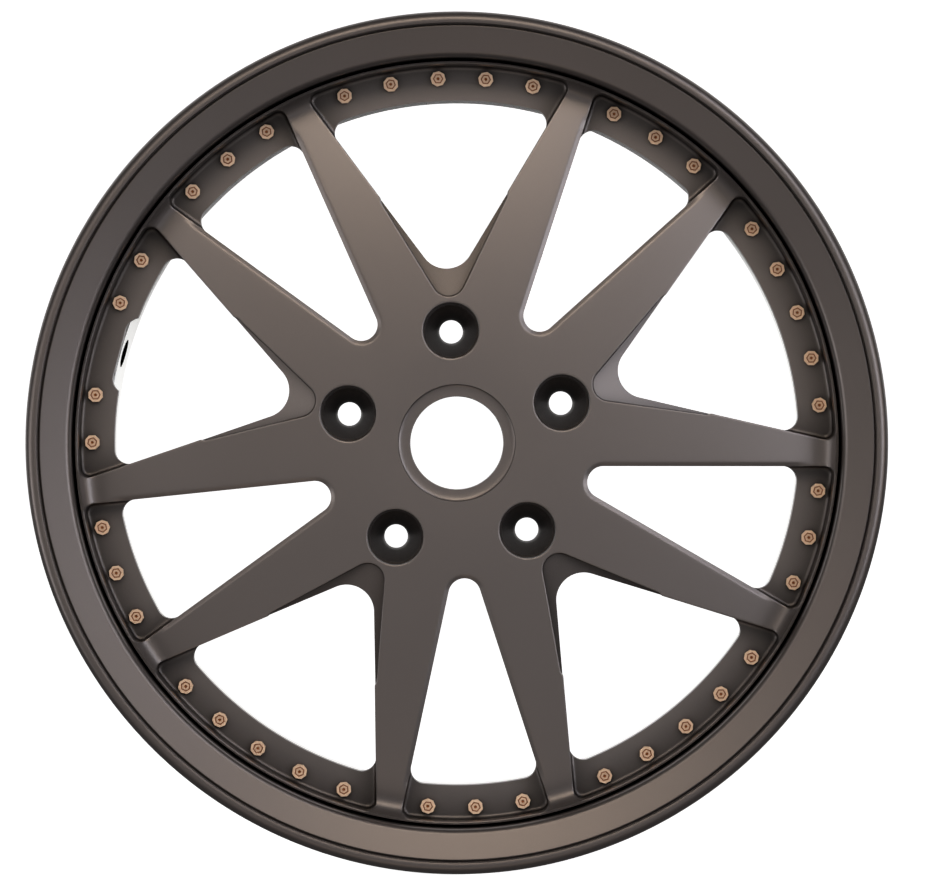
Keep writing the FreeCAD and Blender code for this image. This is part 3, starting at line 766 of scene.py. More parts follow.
    def height(self, point: Plan, region: Region) -> float:
        """Height of the front at a plan point.

        Args:
            point: Plan point of the sector.
            region: Region whose surface is asked for.

        Returns:
            The height in millimetres.
        """
        radius = math.hypot(*point)
        from_lug = math.hypot(point[0], point[1] - self.lug_circle)
        if region is Region.TOP:
            from_narrow = self.narrow_pad.distance(point)
            spoke = 1 - smooth_step(*self.bevel_fade, radius)
            lean = self.bevel - from_narrow
            bevel = (lean + math.hypot(lean, self.bevel_blend)) / 2 * spoke * self.bevel_fall
            drop = max(bevel, quarter_round(from_narrow, self.edge))
            drop += quarter_round(self.wide_pad.distance(point), self.edge)
            drop += quarter_round(self.ledge.distance(point), self.ledge_edge)
            drop += quarter_round(from_lug - self.lug_pocket, self.edge)
            return self.section(radius) - drop
        if region is Region.PAD:
            inside = -min(self.wide_pad.distance(point), self.narrow_pad.distance(point))
            return self.pad_floor + quarter_round(inside, self.pad_fillet)
        if region is Region.LEDGE:
            start = self.ledge.tip_centre - self.ledge.tip
            ramp = (point[1] - start) * math.tan(math.radians(self.ledge_slope))
            rise = quarter_round(-self.ledge.distance(point), self.edge)
            return self.hub_face - self.ledge_step - ramp + rise
        seat = (self.lug_shelf - from_lug) / math.tan(math.radians(self.lug_seat_angle))
        return self.lug_floor - max(seat, 0.0)

    def outlines(self, valve: bool) -> list[list[Plan]]:
        """Lines of the plan that the mesh has to follow.

        Args:
            valve: Whether the sector has the valve notch.

        Returns:
            Open runs of plan points, some of which leave the sector.
        """
        lines = []
        chord, curl = self.chord, self.curl
        edges = [self.edge * share for share in self.edge_lines]
        for share in self.edge_lines:
            lines.append(self.wide_pad.grown(self.edge * share).half_outline(1, chord, curl))
            lines.append(self.ledge.grown(self.ledge_edge * share).half_outline(1, chord, curl))
        for by in (*edges[:-1], *(self.bevel * share for share in self.bevel_lines)):
            lines.append(self.narrow_pad.grown(by).half_outline(-1, chord, curl))
        for share in self.fillet_lines:
            lines.append(self.wide_pad.grown(-self.pad_fillet * share).half_outline(1, chord, curl))
            lines.append(self.narrow_pad.grown(-self.pad_fillet * share).half_outline(-1, chord, curl))
        lines.append(self.ledge.grown(-self.edge).half_outline(1, chord, curl))
        lines.append(self.wide_window.half_outline(1, chord, curl))
        lines.append(self.narrow_window.half_outline(-1, chord, curl))
        seat = [self.lug_hole + (self.lug_shelf - self.lug_hole) * step / self.seat_rings
                for step in range(self.seat_rings + 1)]
        for radius in (*seat, *(self.lug_pocket + by for by in edges)):
            lines.append(arc_points((0.0, self.lug_circle), radius, -math.pi / 2, math.pi / 2, self.lug_curl))
        flare = [self.bore + self.bore_flare * share for share in self.flare_lines]
        start = self.fold - self.fold_blend
        kick = [start + (self.pocket - start) * step / self.kick_rings for step in range(self.kick_rings)]
        for radius in (*flare, flare[-1] + self.flare_hold, self.hub_flat, self.boss, *kick,
                       *(self.pocket + by for by in edges[:-1]), self.radius):
            lines.append(arc_points((0.0, 0.0), radius, math.pi / 2 - HALF_PAIR, math.pi / 2,
                                    max(curl, radius * self.ring_turn)))
        if valve:
            span = self.notch.half_span(self.pad_edge, self.notch_reach)
            angles = [span * step / self.notch_steps for step in range(self.notch_steps + 1)]
            spots = [(a, self.notch.radius(a, self.pad_edge, self.notch_reach)) for a in angles]
            lines.append([(r * math.sin(a), r * math.cos(a)) for a, r in spots])
        return lines

    def in_sector(self, point: Plan) -> bool:
        """Whether a plan point lies in the half sector between a wide and a narrow window's axes.

        Args:
            point: Plan point.

        Returns:
            Whether it lies in the sector or on its edge.
        """
        beyond = point[0] * math.cos(HALF_PAIR) - point[1] * math.sin(HALF_PAIR)
        return point[0] > -SLACK and beyond < SLACK and math.hypot(*point) < self.radius + SLACK

    @staticmethod
    def on_mirror_line(point: Plan) -> Plan:
        """Move a plan point exactly onto a mirror line of the sector that it all but touches.

        Args:
            point: Plan point.

        Returns:
            The point, moved or as it was.
        """
        cosine, sine = math.cos(HALF_PAIR), math.sin(HALF_PAIR)
        beyond = point[0] * cosine - point[1] * sine
        if abs(beyond) < MERGE:
            return point[0] - beyond * cosine, point[1] + beyond * sine
        return (0.0, point[1]) if abs(point[0]) < MERGE else point

    def triangles(self, valve: bool) -> tuple[list[Plan], list[Sequence[int]]]:
        """Triangulate the plan of a half sector along all its outlines.

        Args:
            valve: Whether the sector has the valve notch.

        Returns:
            Plan points and triangles, counter-clockwise as seen from the front.
        """
        points: list[Vector] = []
        edges: list[tuple[int, int]] = []
        runs = self.outlines(valve)
        for turn in (0.0, HALF_PAIR):
            side = (math.sin(turn), math.cos(turn))
            ends = [tuple(radius * value for value in side) for radius in (self.bore, self.radius)]
            runs.append(line_points(ends[0], ends[1], self.fill))
        for run in runs:
            before = None
            for point in run:
                if not self.in_sector(point):
                    before = None
                    continue
                points.append(Vector(point))
                if before is not None:
                    edges.append((before, len(points) - 1))
                before = len(points) - 1
        rings = math.ceil((self.fold - self.hub_flat) / self.fill)
        for ring in range(1, rings):
            radius = self.hub_flat + (self.fold - self.hub_flat) * ring / rings
            count = max(2, math.ceil(radius * HALF_PAIR / self.fill))
            for step in range(1, count):
                angle = HALF_PAIR * step / count
                spot = (radius * math.sin(angle), radius * math.cos(angle))
                near = min(abs(plan.distance(spot)) for plan in (self.wide_pad, self.narrow_pad, self.ledge))
                if near > self.fill and self.region(spot, valve) is Region.TOP:
                    points.append(Vector(spot))
        found = delaunay_2d_cdt(points, edges, [], 0, MERGE)
        spots = [self.on_mirror_line((v.x, v.y)) for v in found[0]]
        # Two points that were moved to one place on a mirror line become one.
        first_there: dict[tuple[int, int], int] = {}
        single = [first_there.setdefault((round(x / MERGE), round(y / MERGE)), number)
                  for number, (x, y) in enumerate(spots)]
        faces = []
        for face in found[2]:
            face = [single[i] for i in face]
            (ax, ay), (bx, by), (cx, cy) = (spots[i] for i in face)
            turned = (bx - ax) * (cy - ay) - (by - ay) * (cx - ax)
            if abs(turned) > MERGE ** 2:
                faces.append(tuple(face) if turned > 0 else tuple(reversed(face)))
        return spots, faces

    def half_sector(self, valve: bool) -> tuple[list[Point], list[Sequence[int]]]:
        """Mesh of the half sector beside the top of the wheel, front, back and walls.

        Args:
            valve: Whether the sector has the valve notch.

        Returns:
            Points in the wheel's frame and faces.
        """
        spots, plan = self.triangles(valve)
        made: dict[tuple[int, Region | Back], int] = {}
        points: list[Point] = []
        faces: list[Sequence[int]] = []

        def corner(spot: int, layer: Region | Back) -> int:
            """Number of the mesh point of a plan point in a layer, which is made when first asked for.

            Args:
                spot: Number of the plan point.
                layer: Region of the front or of the back.

            Returns:
                Number of the mesh point.
            """
            key = (spot, layer)
            if key not in made:
                if isinstance(layer, Region):
                    height = self.height(spots[spot], layer)
                else:
                    height = self.mount_face if layer is Back.BOSS else self.seat
                made[key] = len(points)
                points.append((spots[spot][0], -height, spots[spot][1]))
            return made[key]

        def upright(spot: int, top: Region | Back, bottom: Region | Back) -> list[int]:
            """Mesh points along a wall's upright edge, with those of other layers between its ends.

            Args:
                spot: Number of the plan point.
                top: Layer where the edge starts.
                bottom: Layer where the edge ends.

            Returns:
                Numbers of the mesh points, from one end to the other.
            """
            start, end = corner(spot, top), corner(spot, bottom)
            low, high = sorted((points[start][1], points[end][1]))
            between = {points[n][1]: n for n in (corner(spot, layer) for layer in layers[spot])
                       if low + WELD < points[n][1] < high - WELD}
            order = sorted(between, reverse=points[start][1] > points[end][1])
            return [start, *(between[level] for level in order), end]

        layers: dict[int, set[Region | Back]] = {}
        sides: dict[tuple[int, int], tuple[Region, Back]] = {}
        for face in plan:
            middle = tuple(sum(spots[i][axis] for i in face) / 3 for axis in (0, 1))
            front = self.region(middle, valve)
            back = Back.BOSS if math.hypot(*middle) < self.boss else Back.PLAIN
            for first, second in zip(face, (*face[1:], face[0])):
                sides[first, second] = (front, back)
            if front is not Region.OPEN:
                faces.append([corner(i, front) for i in face])
                faces.append([corner(i, back) for i in reversed(face)])
                for spot in face:
                    layers.setdefault(spot, set()).update((front, back))
        for (first, second), (front, back) in sides.items():
            if front is Region.OPEN:
                continue
            beyond = sides.get((second, first))
            if beyond is None:
                radius = math.hypot(*spots[first]), math.hypot(*spots[second])
                if min(radius) < self.radius - MERGE:
                    continue
            if beyond is None or beyond[0] is Region.OPEN:
                faces.append(upright(first, front, back) + upright(second, back, front))
                continue
            if beyond[0] is not front and first < second:
                faces.append(upright(first, front, beyond[0]) + upright(second, beyond[0], front))
            if beyond[1] is not back and first < second:
                faces.append(upright(second, back, beyond[1]) + upright(first, beyond[1], back))
        return points, faces

    def build(self) -> bpy.types.Object:
        """Mesh the whole disc from half sectors.

        Returns:
            The disc's object.
        """
        halves = {valve: self.half_sector(valve) for valve in (True, False)}
        points: list[Point] = []
        faces: list[Sequence[int]] = []
        for pair in range(PAIRS):
            turn = math.radians(VALVE_TURN + pair * PAIR_STEP)
            cosine, sine = math.cos(turn), math.sin(turn)
            half_points, half_faces = halves[pair == 0]
            for side in (1, -1):
                base = len(points)
                for across, along, up in half_points:
                    points.append((side * across * cosine + up * sine, along,
                                   up * cosine - side * across * sine))
                for face in half_faces:
                    # Points are (across, along, up) with the front at negative along, so the plan's
                    # counter-clockwise faces already look forwards.
                    order = face if side == 1 else list(reversed(face))
                    faces.append([base + i for i in order])
        return make_piece("forged_centre_disc", points, faces)

    def dress(self) -> None:
        """Build the disc and give it its finish."""
        finish_piece(self.build(), self.finish.material(), self.slot, self.node)


@dataclass(frozen=True)
class Corner:
    """A corner of a turned section: radius from the axis, height and radius of its rounding."""

    radius: float
    height: float
    rounding: float = 0.0


@dataclass
class RimHalf:
    """One turned half of the rim, with the bolting web and its relief beside the valve."""

    name: str
    node: str
    finish: Finish
    slot: str
    web_edge: float = 135.5
    notch_reach: float = 137.9
    bead_seat: float = 152.0
    flange_thickness: float = 11.9
    seat_end: float = 150.6
    seat_length: float = 16.0
    hump: float = 0.9
    hump_length: float = 5.0
    hump_round: float = 1.05
    flange_round: float = 5.0
    bead_round: float = 2.0
    fine_edge: float = 0.35
    edge_reach: float = 0.5
    # The mesh's steps in degrees, and the line beside a rounding that keeps the next face flat.
    round_step: float = 9.0
    hold: float = 0.25
    hold_share: float = 0.3
    turn_step: float = 1.25
    notch_step: float = 0.2

    def __post_init__(self) -> None:
        """Take the overall sizes from the frame."""
        self.radius, self.front, self.back = node_span(self.node)
        self.half_width = max(self.front, -self.back) - self.flange_thickness
        self.notch = ValveNotch()

    @property
    def web_back(self) -> float:
        """Height of the bolting web's back."""
        raise NotImplementedError

    def corners(self) -> list[Corner]:
        """Give the corners of the section, in order round it."""
        raise NotImplementedError

    def section(self) -> list[Plan]:
        """Radius and height of each point round the section, with its corners rounded.

        Returns:
            A closed run of points.
        """
        corners = self.corners()
        run: list[Plan] = []
        for before, here, after in zip([corners[-1], *corners], corners, [*corners[1:], corners[0]]):
            spot = Vector((here.radius, here.height))
            back = (Vector((before.radius, before.height)) - spot).normalized()
            ahead = (Vector((after.radius, after.height)) - spot).normalized()
            if here.rounding <= 0:
                run.append(tuple(spot))
                continue
            opening = back.angle(ahead)
            reach = here.rounding / math.tan(opening / 2)
            hold = min(self.hold, here.rounding * self.hold_share)
            centre = spot + (back + ahead).normalized() * (here.rounding / math.sin(opening / 2))
            start, end = spot + back * reach, spot + ahead * reach
            first = math.atan2(start.y - centre.y, start.x - centre.x)
            last = math.atan2(end.y - centre.y, end.x - centre.x)
            sweep = (last - first + math.pi) % math.tau - math.pi
            count = max(3, math.ceil(abs(sweep) / math.radians(self.round_step)))
            run.append(tuple(start + back * hold))
            run.extend((centre.x + here.rounding * math.cos(first + sweep * step / count),
                        centre.y + here.rounding * math.sin(first + sweep * step / count))
                       for step in range(count + 1))
            run.append(tuple(end + ahead * hold))
        return run

    def turns(self) -> list[float]:
        """Angles of the mesh round the axis, closer together at the valve notch.

        Returns:
            The angles in degrees, once round.
        """
        half = math.degrees(self.notch.widest(self.web_edge))
        steps = round(2 * half / self.notch_step)
        fine = [-half + 2 * half * step / steps for step in range(steps + 1)]
        rest = FULL_TURN - 2 * half
        count = round(rest / self.turn_step)
        coarse = [half + rest * step / count for step in range(1, count)]
        return [VALVE_TURN + angle for angle in fine + coarse]

    def build(self) -> bpy.types.Object:
        """Turn the section about the axis.

        Returns:
            The half's object.
        """
        section = self.section()
        turns = self.turns()
        points: list[Point] = []
        for turn in turns:
            angle = math.radians(turn)
            edge = self.notch.radius(math.radians(turn - VALVE_TURN), self.web_edge, self.notch_reach)
            for radius, height in section:
                on_edge = radius < self.web_edge + self.edge_reach and height > self.web_back - WELD
                reach = radius + edge - self.web_edge if on_edge else radius
                points.append((reach * math.sin(angle), -height, reach * math.cos(angle)))
        size = len(section)
        faces = []
        for row in range(len(turns)):
            ahead = (row + 1) % len(turns)
            for step in range(size):
                following = (step + 1) % size
                faces.append((row * size + step, row * size + following,
                              ahead * size + following, ahead * size + step))
        piece = make_piece(self.name, points, faces)
        self.face_outwards(piece.data)
        return piece

    @staticmethod
    def face_outwards(mesh: bpy.types.Mesh) -> None:
        """Turn every face of a closed mesh outwards.

        Args:
            mesh: Mesh to change.
        """
        work = bmesh.new()
        work.from_mesh(mesh)
        bmesh.ops.recalc_face_normals(work, faces=work.faces)
        work.to_mesh(mesh)
        work.free()

    def dress(self) -> None:
        """Build the half and give it its finish."""
        finish_piece(self.build(), self.finish.material(), self.slot, self.node)


@dataclass
class FrontHalf(RimHalf):
    """The front half: rounded flange, a fine step, the sloping lip and the deep wall behind it."""

    crest: float = 4.6
    crest_round: float = 4.14
    crest_lean: float = 15.0
    crest_peak: float = 1.9
    crest_over: float = 0.49
    crest_shoulder: float = 3.0
    peak_round: float = 3.0
    crisp_edge: float = 0.175
    groove: float = 0.5
    groove_width: float = 0.36
    step_depth: float = 1.4
    step_width: float = 1.2
    band_fall: float = 3.6
    lip_wall: float = 3.5
    lip_corner: float = 2.6
    undercut: float = 0.7
    undercut_depth: float = 4.6
    web: float = 5.0

    @property
    def web_back(self) -> float:
        """Height of the bolting web's back, which is the half's own back."""
        return self.back

    def corners(self) -> list[Corner]:
        """Corners of the section, in order round it.

        Returns:
            The corners.
        """
        fine = self.fine_edge
        crest = self.radius - self.crest
        peak = self.radius - self.crest_peak
        edge = self.front + self.crest_over - (peak - crest) * math.tan(math.radians(self.crest_lean))
        floor = self.front - self.step_depth
        bore = self.bead_seat - self.lip_wall
        hump = self.half_width - self.seat_length
        return [
            Corner(self.bead_seat, self.half_width, self.bead_round),
            Corner(self.radius, self.half_width, self.flange_round),
            Corner(self.radius, self.front - self.crest_shoulder, self.crest_round),
            Corner(peak, self.front + self.crest_over, self.peak_round),
            Corner(crest, edge, self.crisp_edge),
            Corner(crest, floor - self.groove, self.crisp_edge),
            Corner(crest - self.groove_width, floor - self.groove, self.crisp_edge),
            Corner(crest - self.step_width, floor, fine),
            Corner(bore, floor - self.band_fall, self.lip_corner),
            Corner(bore + self.undercut, floor - self.band_fall - self.undercut_depth),
            Corner(bore + self.undercut, self.back + self.web, fine),
            Corner(self.web_edge, self.back + self.web),
            Corner(self.web_edge, self.back),
            Corner(self.seat_end, self.back),
            Corner(self.seat_end, hump - self.hump_length, fine),
            Corner(self.seat_end + self.hump, hump - self.hump_length / 2, self.hump_round),
            Corner(self.seat_end, hump, fine),
        ]


@dataclass
class RearHalf(RimHalf):
    """The rear half: bolting web, nut channel, well with the valve hole, bead seat and plain flange."""

    web: float = 5.0
    channel: float = 6.0
    channel_wall: float = 2.2
    barrel_wall: float = 3.5
    well_wall: float = 3.8
    well_front_bore: float = 137.4
    well_rear_bore: float = 135.7
    well_length: float = 26.0
    well_front_side: float = 2.2
    well_rear_side: float = 5.8
    well_flare: float = 8.5
    well_corner: float = 2.0
    flare_width: float = 9.0
    flare_depth: float = 7.0
    flare_round: float = 2.6
    valve_offset: float = 10.0
    valve_radius: float = 5.65
    valve_sides: int = 48
    drill_length: float = 21.0

    @property
    def web_back(self) -> float:
        """Height of the bolting web's back, where the nuts sit."""
        return self.front - self.web

    @property
    def channel_end(self) -> float:
        """Height of the nut channel's back wall."""
        return self.web_back - self.channel

    def corners(self) -> list[Corner]:
        """Corners of the section, in order round it.

        Returns:
            The corners.
        """
        fine = self.fine_edge
        bore = self.seat_end - self.barrel_wall
        hump = self.seat_length - self.half_width
        hump_end = hump + self.hump_length
        well_end = self.channel_end - self.well_length
        shoulder = self.channel_end - self.channel_wall
        return [
            Corner(self.seat_end, self.front),
            Corner(self.web_edge, self.front),
            Corner(self.web_edge, self.web_back, fine),
            Corner(bore, self.web_back, fine),
            Corner(bore, self.channel_end, fine),
            Corner(self.well_front_bore, self.channel_end, fine),
            Corner(self.well_rear_bore, well_end, self.well_corner),
            Corner(bore, well_end - self.well_flare, self.well_corner),
            Corner(bore, self.back + self.flare_depth, self.flare_round),
            Corner(bore + self.flare_width, self.back, self.flare_round),
            Corner(self.radius, self.back, self.flange_round),
            Corner(self.radius, -self.half_width, self.flange_round),
            Corner(self.bead_seat, -self.half_width, self.bead_round),
            Corner(self.seat_end, hump, fine),
            Corner(self.seat_end + self.hump, hump + self.hump_length / 2, self.hump_round),
            Corner(self.seat_end, hump_end, fine),
            Corner(self.well_rear_bore + self.well_wall, hump_end + self.well_rear_side, self.well_corner),
            Corner(self.well_front_bore + self.well_wall, shoulder - self.well_front_side, self.well_corner),
            Corner(self.seat_end, shoulder, self.well_corner),
        ]

    def build(self) -> bpy.types.Object:
        """Turn the section and drill the valve hole through the barrel.

        Returns:
            The half's object.
        """
        piece = super().build()
        outwards = Matrix.Rotation(math.radians(VALVE_TURN), 4, "Y")
        reach = self.well_front_bore * MM
        place = outwards @ Matrix.Translation((0.0, (self.valve_offset - self.channel_end) * MM, reach))
        cutter_mesh = bpy.data.meshes.new("valve_drill")
        work = bmesh.new()
        bmesh.ops.create_cone(work, cap_ends=True, segments=self.valve_sides, radius1=self.valve_radius * MM,
                              radius2=self.valve_radius * MM, depth=self.drill_length * MM, matrix=place)
        work.to_mesh(cutter_mesh)
        work.free()
        cutter = bpy.data.objects.new("valve_drill", cutter_mesh)
        bpy.context.scene.collection.objects.link(cutter)
        drill = piece.modifiers.new("valve_hole", "BOOLEAN")
        drill.operation = "DIFFERENCE"
        drill.solver = "EXACT"
        drill.object = cutter
        evaluated = piece.evaluated_get(bpy.context.evaluated_depsgraph_get())
        mesh = bpy.data.meshes.new_from_object(evaluated)
        piece.modifiers.clear()
        bpy.data.objects.remove(cutter)
        mesh.name = self.name
        piece.data = mesh
        mesh.set_sharp_from_angle(angle=math.radians(SHARP))
        # Painted shade: faces on the valve hole's wall are marked to be painted nearly black.
        hole_shade = mesh.attributes.new(TurnedAluminium.HOLE_SHADE, "FLOAT", "FACE")
        axis = place.inverted()
        for face, item in zip(mesh.polygons, hole_shade.data):
            spot = axis @ face.center
            aside, along = math.hypot(spot.x, spot.y) / MM, abs(spot.z) / MM
            item.value = float(aside < self.valve_radius and along < self.drill_length / 2)
        return piece


@dataclass(frozen=True)
class Ring:
    """One ring of a fastener: corners, radius to its flats, height, and how much painted shade it gets down a
    socket.
    """

    sides: int
    flat: float
    height: float
    depth: float = 0.0


@dataclass
class Fastener:
    """A bolt or nut, meshed from rings round its own axis and repeated by a node tree."""

    name: str
    finish: Finish
    slot: str
    node: str
    circle: float = 142.1
    pitch: float = 7.5
    seed: int = 7
    spin: float = 180.0

    # Attribute of painted shade: how dark each ring of a socket or bore is painted.
    SOCKET_SHADE: ClassVar[str] = "socket_depth"
    AROUND: ClassVar[int] = 48

    def rings(self) -> list[Ring]:
        """Give the rings from the back of the fastener round to its start."""
        raise NotImplementedError

    def radius_at(self, ring: Ring, step: int) -> float:
        """Distance from the fastener's axis to a ring, at one of its steps round.

        Args:
            ring: Ring with flat sides, or a round one.
            step: Number of the step.

        Returns:
            The distance in millimetres.
        """
        if ring.sides >= self.AROUND:
            return ring.flat
        span = math.tau / ring.sides
        angle = math.tau * step / self.AROUND
        return ring.flat / math.cos((angle + span / 2) % span - span / 2)

    def master(self) -> bpy.types.Object:
        """Mesh one fastener on the wheel's axis.

        Returns:
            The master object, which the node tree copies.
        """
        rings = self.rings()
        points: list[Point] = []
        faces: list[Sequence[int]] = []
        for ring in rings:
            for step in range(self.AROUND):
                angle = math.tau * step / self.AROUND
                radius = self.radius_at(ring, step)
                points.append((radius * math.sin(angle), -ring.height, radius * math.cos(angle)))
        for level in range(len(rings) - 1):
            for step in range(self.AROUND):
                ahead = (step + 1) % self.AROUND
                low, high = level * self.AROUND, (level + 1) * self.AROUND
                faces.append((low + step, low + ahead, high + ahead, high + step))
        self.close(rings, faces)
        mesh = bpy.data.meshes.new(self.name)
        mesh.from_pydata([[value * MM for value in point] for point in points], [], faces)
        # Each ring's painted shade goes to its points.
        socket_shades = mesh.attributes.new(self.SOCKET_SHADE, "FLOAT", "POINT")
        for number, item in enumerate(socket_shades.data):
            item.value = rings[min(number // self.AROUND, len(rings) - 1)].depth
        RimHalf.face_outwards(mesh)
        master = bpy.data.objects.new(self.name, mesh)
        bpy.context.scene.collection.objects.link(master)
        return master

    def close(self, rings: Sequence[Ring], faces: list[Sequence[int]]) -> None:
        """Close the two ends of the rings.

        Args:
            rings: Rings of the fastener.
            faces: Faces between them, which the ends are added to.
        """
        last = (len(rings) - 1) * self.AROUND
        faces.append(tuple(range(self.AROUND)))
        faces.append(tuple(last + step for step in reversed(range(self.AROUND))))

    def tree(self, material: bpy.types.Material) -> bpy.types.NodeTree:
        """Node tree that sets copies of the master along the bolt circle.

        Args:
            material: Material of every copy.

        Returns:
            The geometry node tree.
        """
        tree = bpy.data.node_groups.new(f"{self.name}_row", "GeometryNodeTree")
        for name, kind in (("Master", "NodeSocketObject"), ("Count", "NodeSocketInt"),
                           ("First angle", "NodeSocketFloat"), ("Pitch", "NodeSocketFloat"),
                           ("Circle", "NodeSocketFloat"), ("Spin", "NodeSocketFloat"),
                           ("Seed", "NodeSocketInt")):
            tree.interface.new_socket(name=name, in_out="INPUT", socket_type=kind)
        tree.interface.new_socket(name="Geometry", in_out="OUTPUT", socket_type="NodeSocketGeometry")
        given = add_node(tree, "NodeGroupInput").outputs
        index = add_node(tree, "GeometryNodeInputIndex").outputs[0]
        angle = add_node(tree, "ShaderNodeMath", {0: index, 1: given["Pitch"], 2: given["First angle"]},
                         operation="MULTIPLY_ADD").outputs[0]
        place = add_node(tree, "ShaderNodeCombineXYZ")
        for axis, wave in (("X", "SINE"), ("Z", "COSINE")):
            share = add_node(tree, "ShaderNodeMath", {0: angle}, operation=wave)
            out = add_node(tree, "ShaderNodeMath", {0: share.outputs[0], 1: given["Circle"]},
                           operation="MULTIPLY")
            tree.links.new(out.outputs[0], place.inputs[axis])
        spots = add_node(tree, "GeometryNodePoints",
                         {"Count": given["Count"], "Position": place.outputs[0]})
        # A fastener stops where it is tight, so each one is turned by a chance angle.
        loose = add_node(tree, "FunctionNodeRandomValue",
                         {FLOAT_MIN: 0.0, FLOAT_MAX: given["Spin"], "Seed": given["Seed"]},
                         data_type="FLOAT")
        turned = add_node(tree, "ShaderNodeMath", {0: angle, 1: loose.outputs[FLOAT_OUT]}, operation="ADD")
        euler = add_node(tree, "ShaderNodeCombineXYZ", {"Y": turned.outputs[0]})
        rotation = add_node(tree, "FunctionNodeEulerToRotation", {0: euler.outputs[0]})
        master = add_node(tree, "GeometryNodeObjectInfo", {"Object": given["Master"]})
        copies = add_node(tree, "GeometryNodeInstanceOnPoints",
                          {"Points": spots.outputs[0], "Instance": master.outputs["Geometry"],
                           "Rotation": rotation.outputs[0]})
        real = add_node(tree, "GeometryNodeRealizeInstances", {"Geometry": copies.outputs[0]})
        dressed = add_node(tree, "GeometryNodeSetMaterial",
                           {"Geometry": real.outputs[0], "Material": material})
        add_node(tree, "NodeGroupOutput", {0: dressed.outputs[0]})
        return tree

    def dress(self) -> None:
        """Build every row and give it its finish."""
        material = self.finish.material()
        master = self.master()
        tree = self.tree(material)
        sockets = {item.name: item.identifier for item in tree.interface.items_tree
                   if item.in_out == "INPUT"}
        for number, (row, first, count) in enumerate(bolt_rows(self.pitch)):
            name = f"{self.name}_{row}"
            piece = bpy.data.objects.new(name, bpy.data.meshes.new(f"{name}_points"))
            bpy.context.scene.collection.objects.link(piece)
            rows = piece.modifiers.new("row", "NODES")
            rows.node_group = tree
            for key, value in (("Master", master), ("Count", count), ("First angle", math.radians(first)),
                               ("Pitch", math.radians(self.pitch)), ("Circle", self.circle * MM),
                               ("Spin", math.radians(self.spin)), ("Seed", self.seed + number)):
                rows[sockets[key]] = value
            evaluated = piece.evaluated_get(bpy.context.evaluated_depsgraph_get())
            mesh = bpy.data.meshes.new_from_object(evaluated)
            piece.modifiers.clear()
            mesh.name = name
            piece.data = mesh
            finish_piece(piece, material, self.slot, f"{self.node}_{row}")
        bpy.data.objects.remove(master)


def bolt_rows(pitch: float) -> list[tuple[str, float, int]]:
    """Rows of fasteners along the bolt circle: one to a window, but two beside the valve.

    Args:
        pitch: Angle between neighbours.

    Returns:
        Name, angle of the first fastener and number of fasteners of each row.
    """
    beside = WIDE_ROW // 2
    rows = [("valve_window_lower", VALVE_TURN - beside * pitch, beside),
            ("valve_window_upper", VALVE_TURN + pitch, beside)]
    for pair in range(PAIRS):
        turn = VALVE_TURN + pair * PAIR_STEP
        if pair > 0:
            rows.append((f"wide_window_{pair}", turn - beside * pitch, WIDE_ROW))
        first = turn + PAIR_STEP / 2 - NARROW_ROW // 2 * pitch
        rows.append((f"narrow_window_{pair + 1}", first, NARROW_ROW))
    return rows


@dataclass
class RimBolt(Fastener):
    """Eight-sided bolt head with a ring-shaped socket and a dimple in its middle."""

    shank: float = 2.0
    tip: float = 1.56
    tip_length: float = 0.5
    head: float = 5.5
    head_sides: int = 8
    head_height: float = 2.0
    chamfer: float = 0.12
    socket: float = 3.5
    socket_sides: int = 6
    socket_depth: float = 0.5
    island: float = 2.7
    dimple: float = 0.55
    dimple_floor: float = 0.3025
    dimple_depth: float = 0.5
    ease: float = 0.08
    # How dark painted shade makes the socket's lip and wall, any floor, the island and the dimple's floor.
    shades: tuple[float, ...] = (0.1, 0.5, 0.8, 0.4, 0.2, 0.25, 1.0)

    def rings(self) -> list[Ring]:
        """Rings from the bolt's tip, along the shank and over the head to the dimple.

        Returns:
            The rings.
        """
        _, top, tip = node_span(f"{self.node}_wide_window_1")
        seat = top - self.head_height
        floor = top - self.socket_depth
        ease, head, socket, island = self.ease, self.head / 2, self.socket / 2, self.island / 2
        lip, wall, deep, side, edge, middle, pit = self.shades
        return [
            Ring(self.AROUND, self.tip, tip),
            Ring(self.AROUND, self.shank, tip + self.tip_length),
            Ring(self.AROUND, self.shank, seat),
            Ring(self.head_sides, head, seat),
            Ring(self.head_sides, head, top - self.chamfer),
            Ring(self.head_sides, head - self.chamfer, top),
            Ring(self.socket_sides, socket + ease, top, lip),
            Ring(self.socket_sides, socket, top - ease, wall),
            Ring(self.socket_sides, socket, floor, deep),
            Ring(self.socket_sides, island, floor, deep),
            Ring(self.socket_sides, island, top - 2 * ease, side),
            Ring(self.socket_sides, island - ease, top - ease, edge),
            Ring(self.AROUND, self.dimple + ease, top - ease, middle),
            Ring(self.AROUND, self.dimple, top - 2 * ease, deep),
            Ring(self.AROUND, self.dimple_floor, top - self.dimple_depth, pit),
        ]


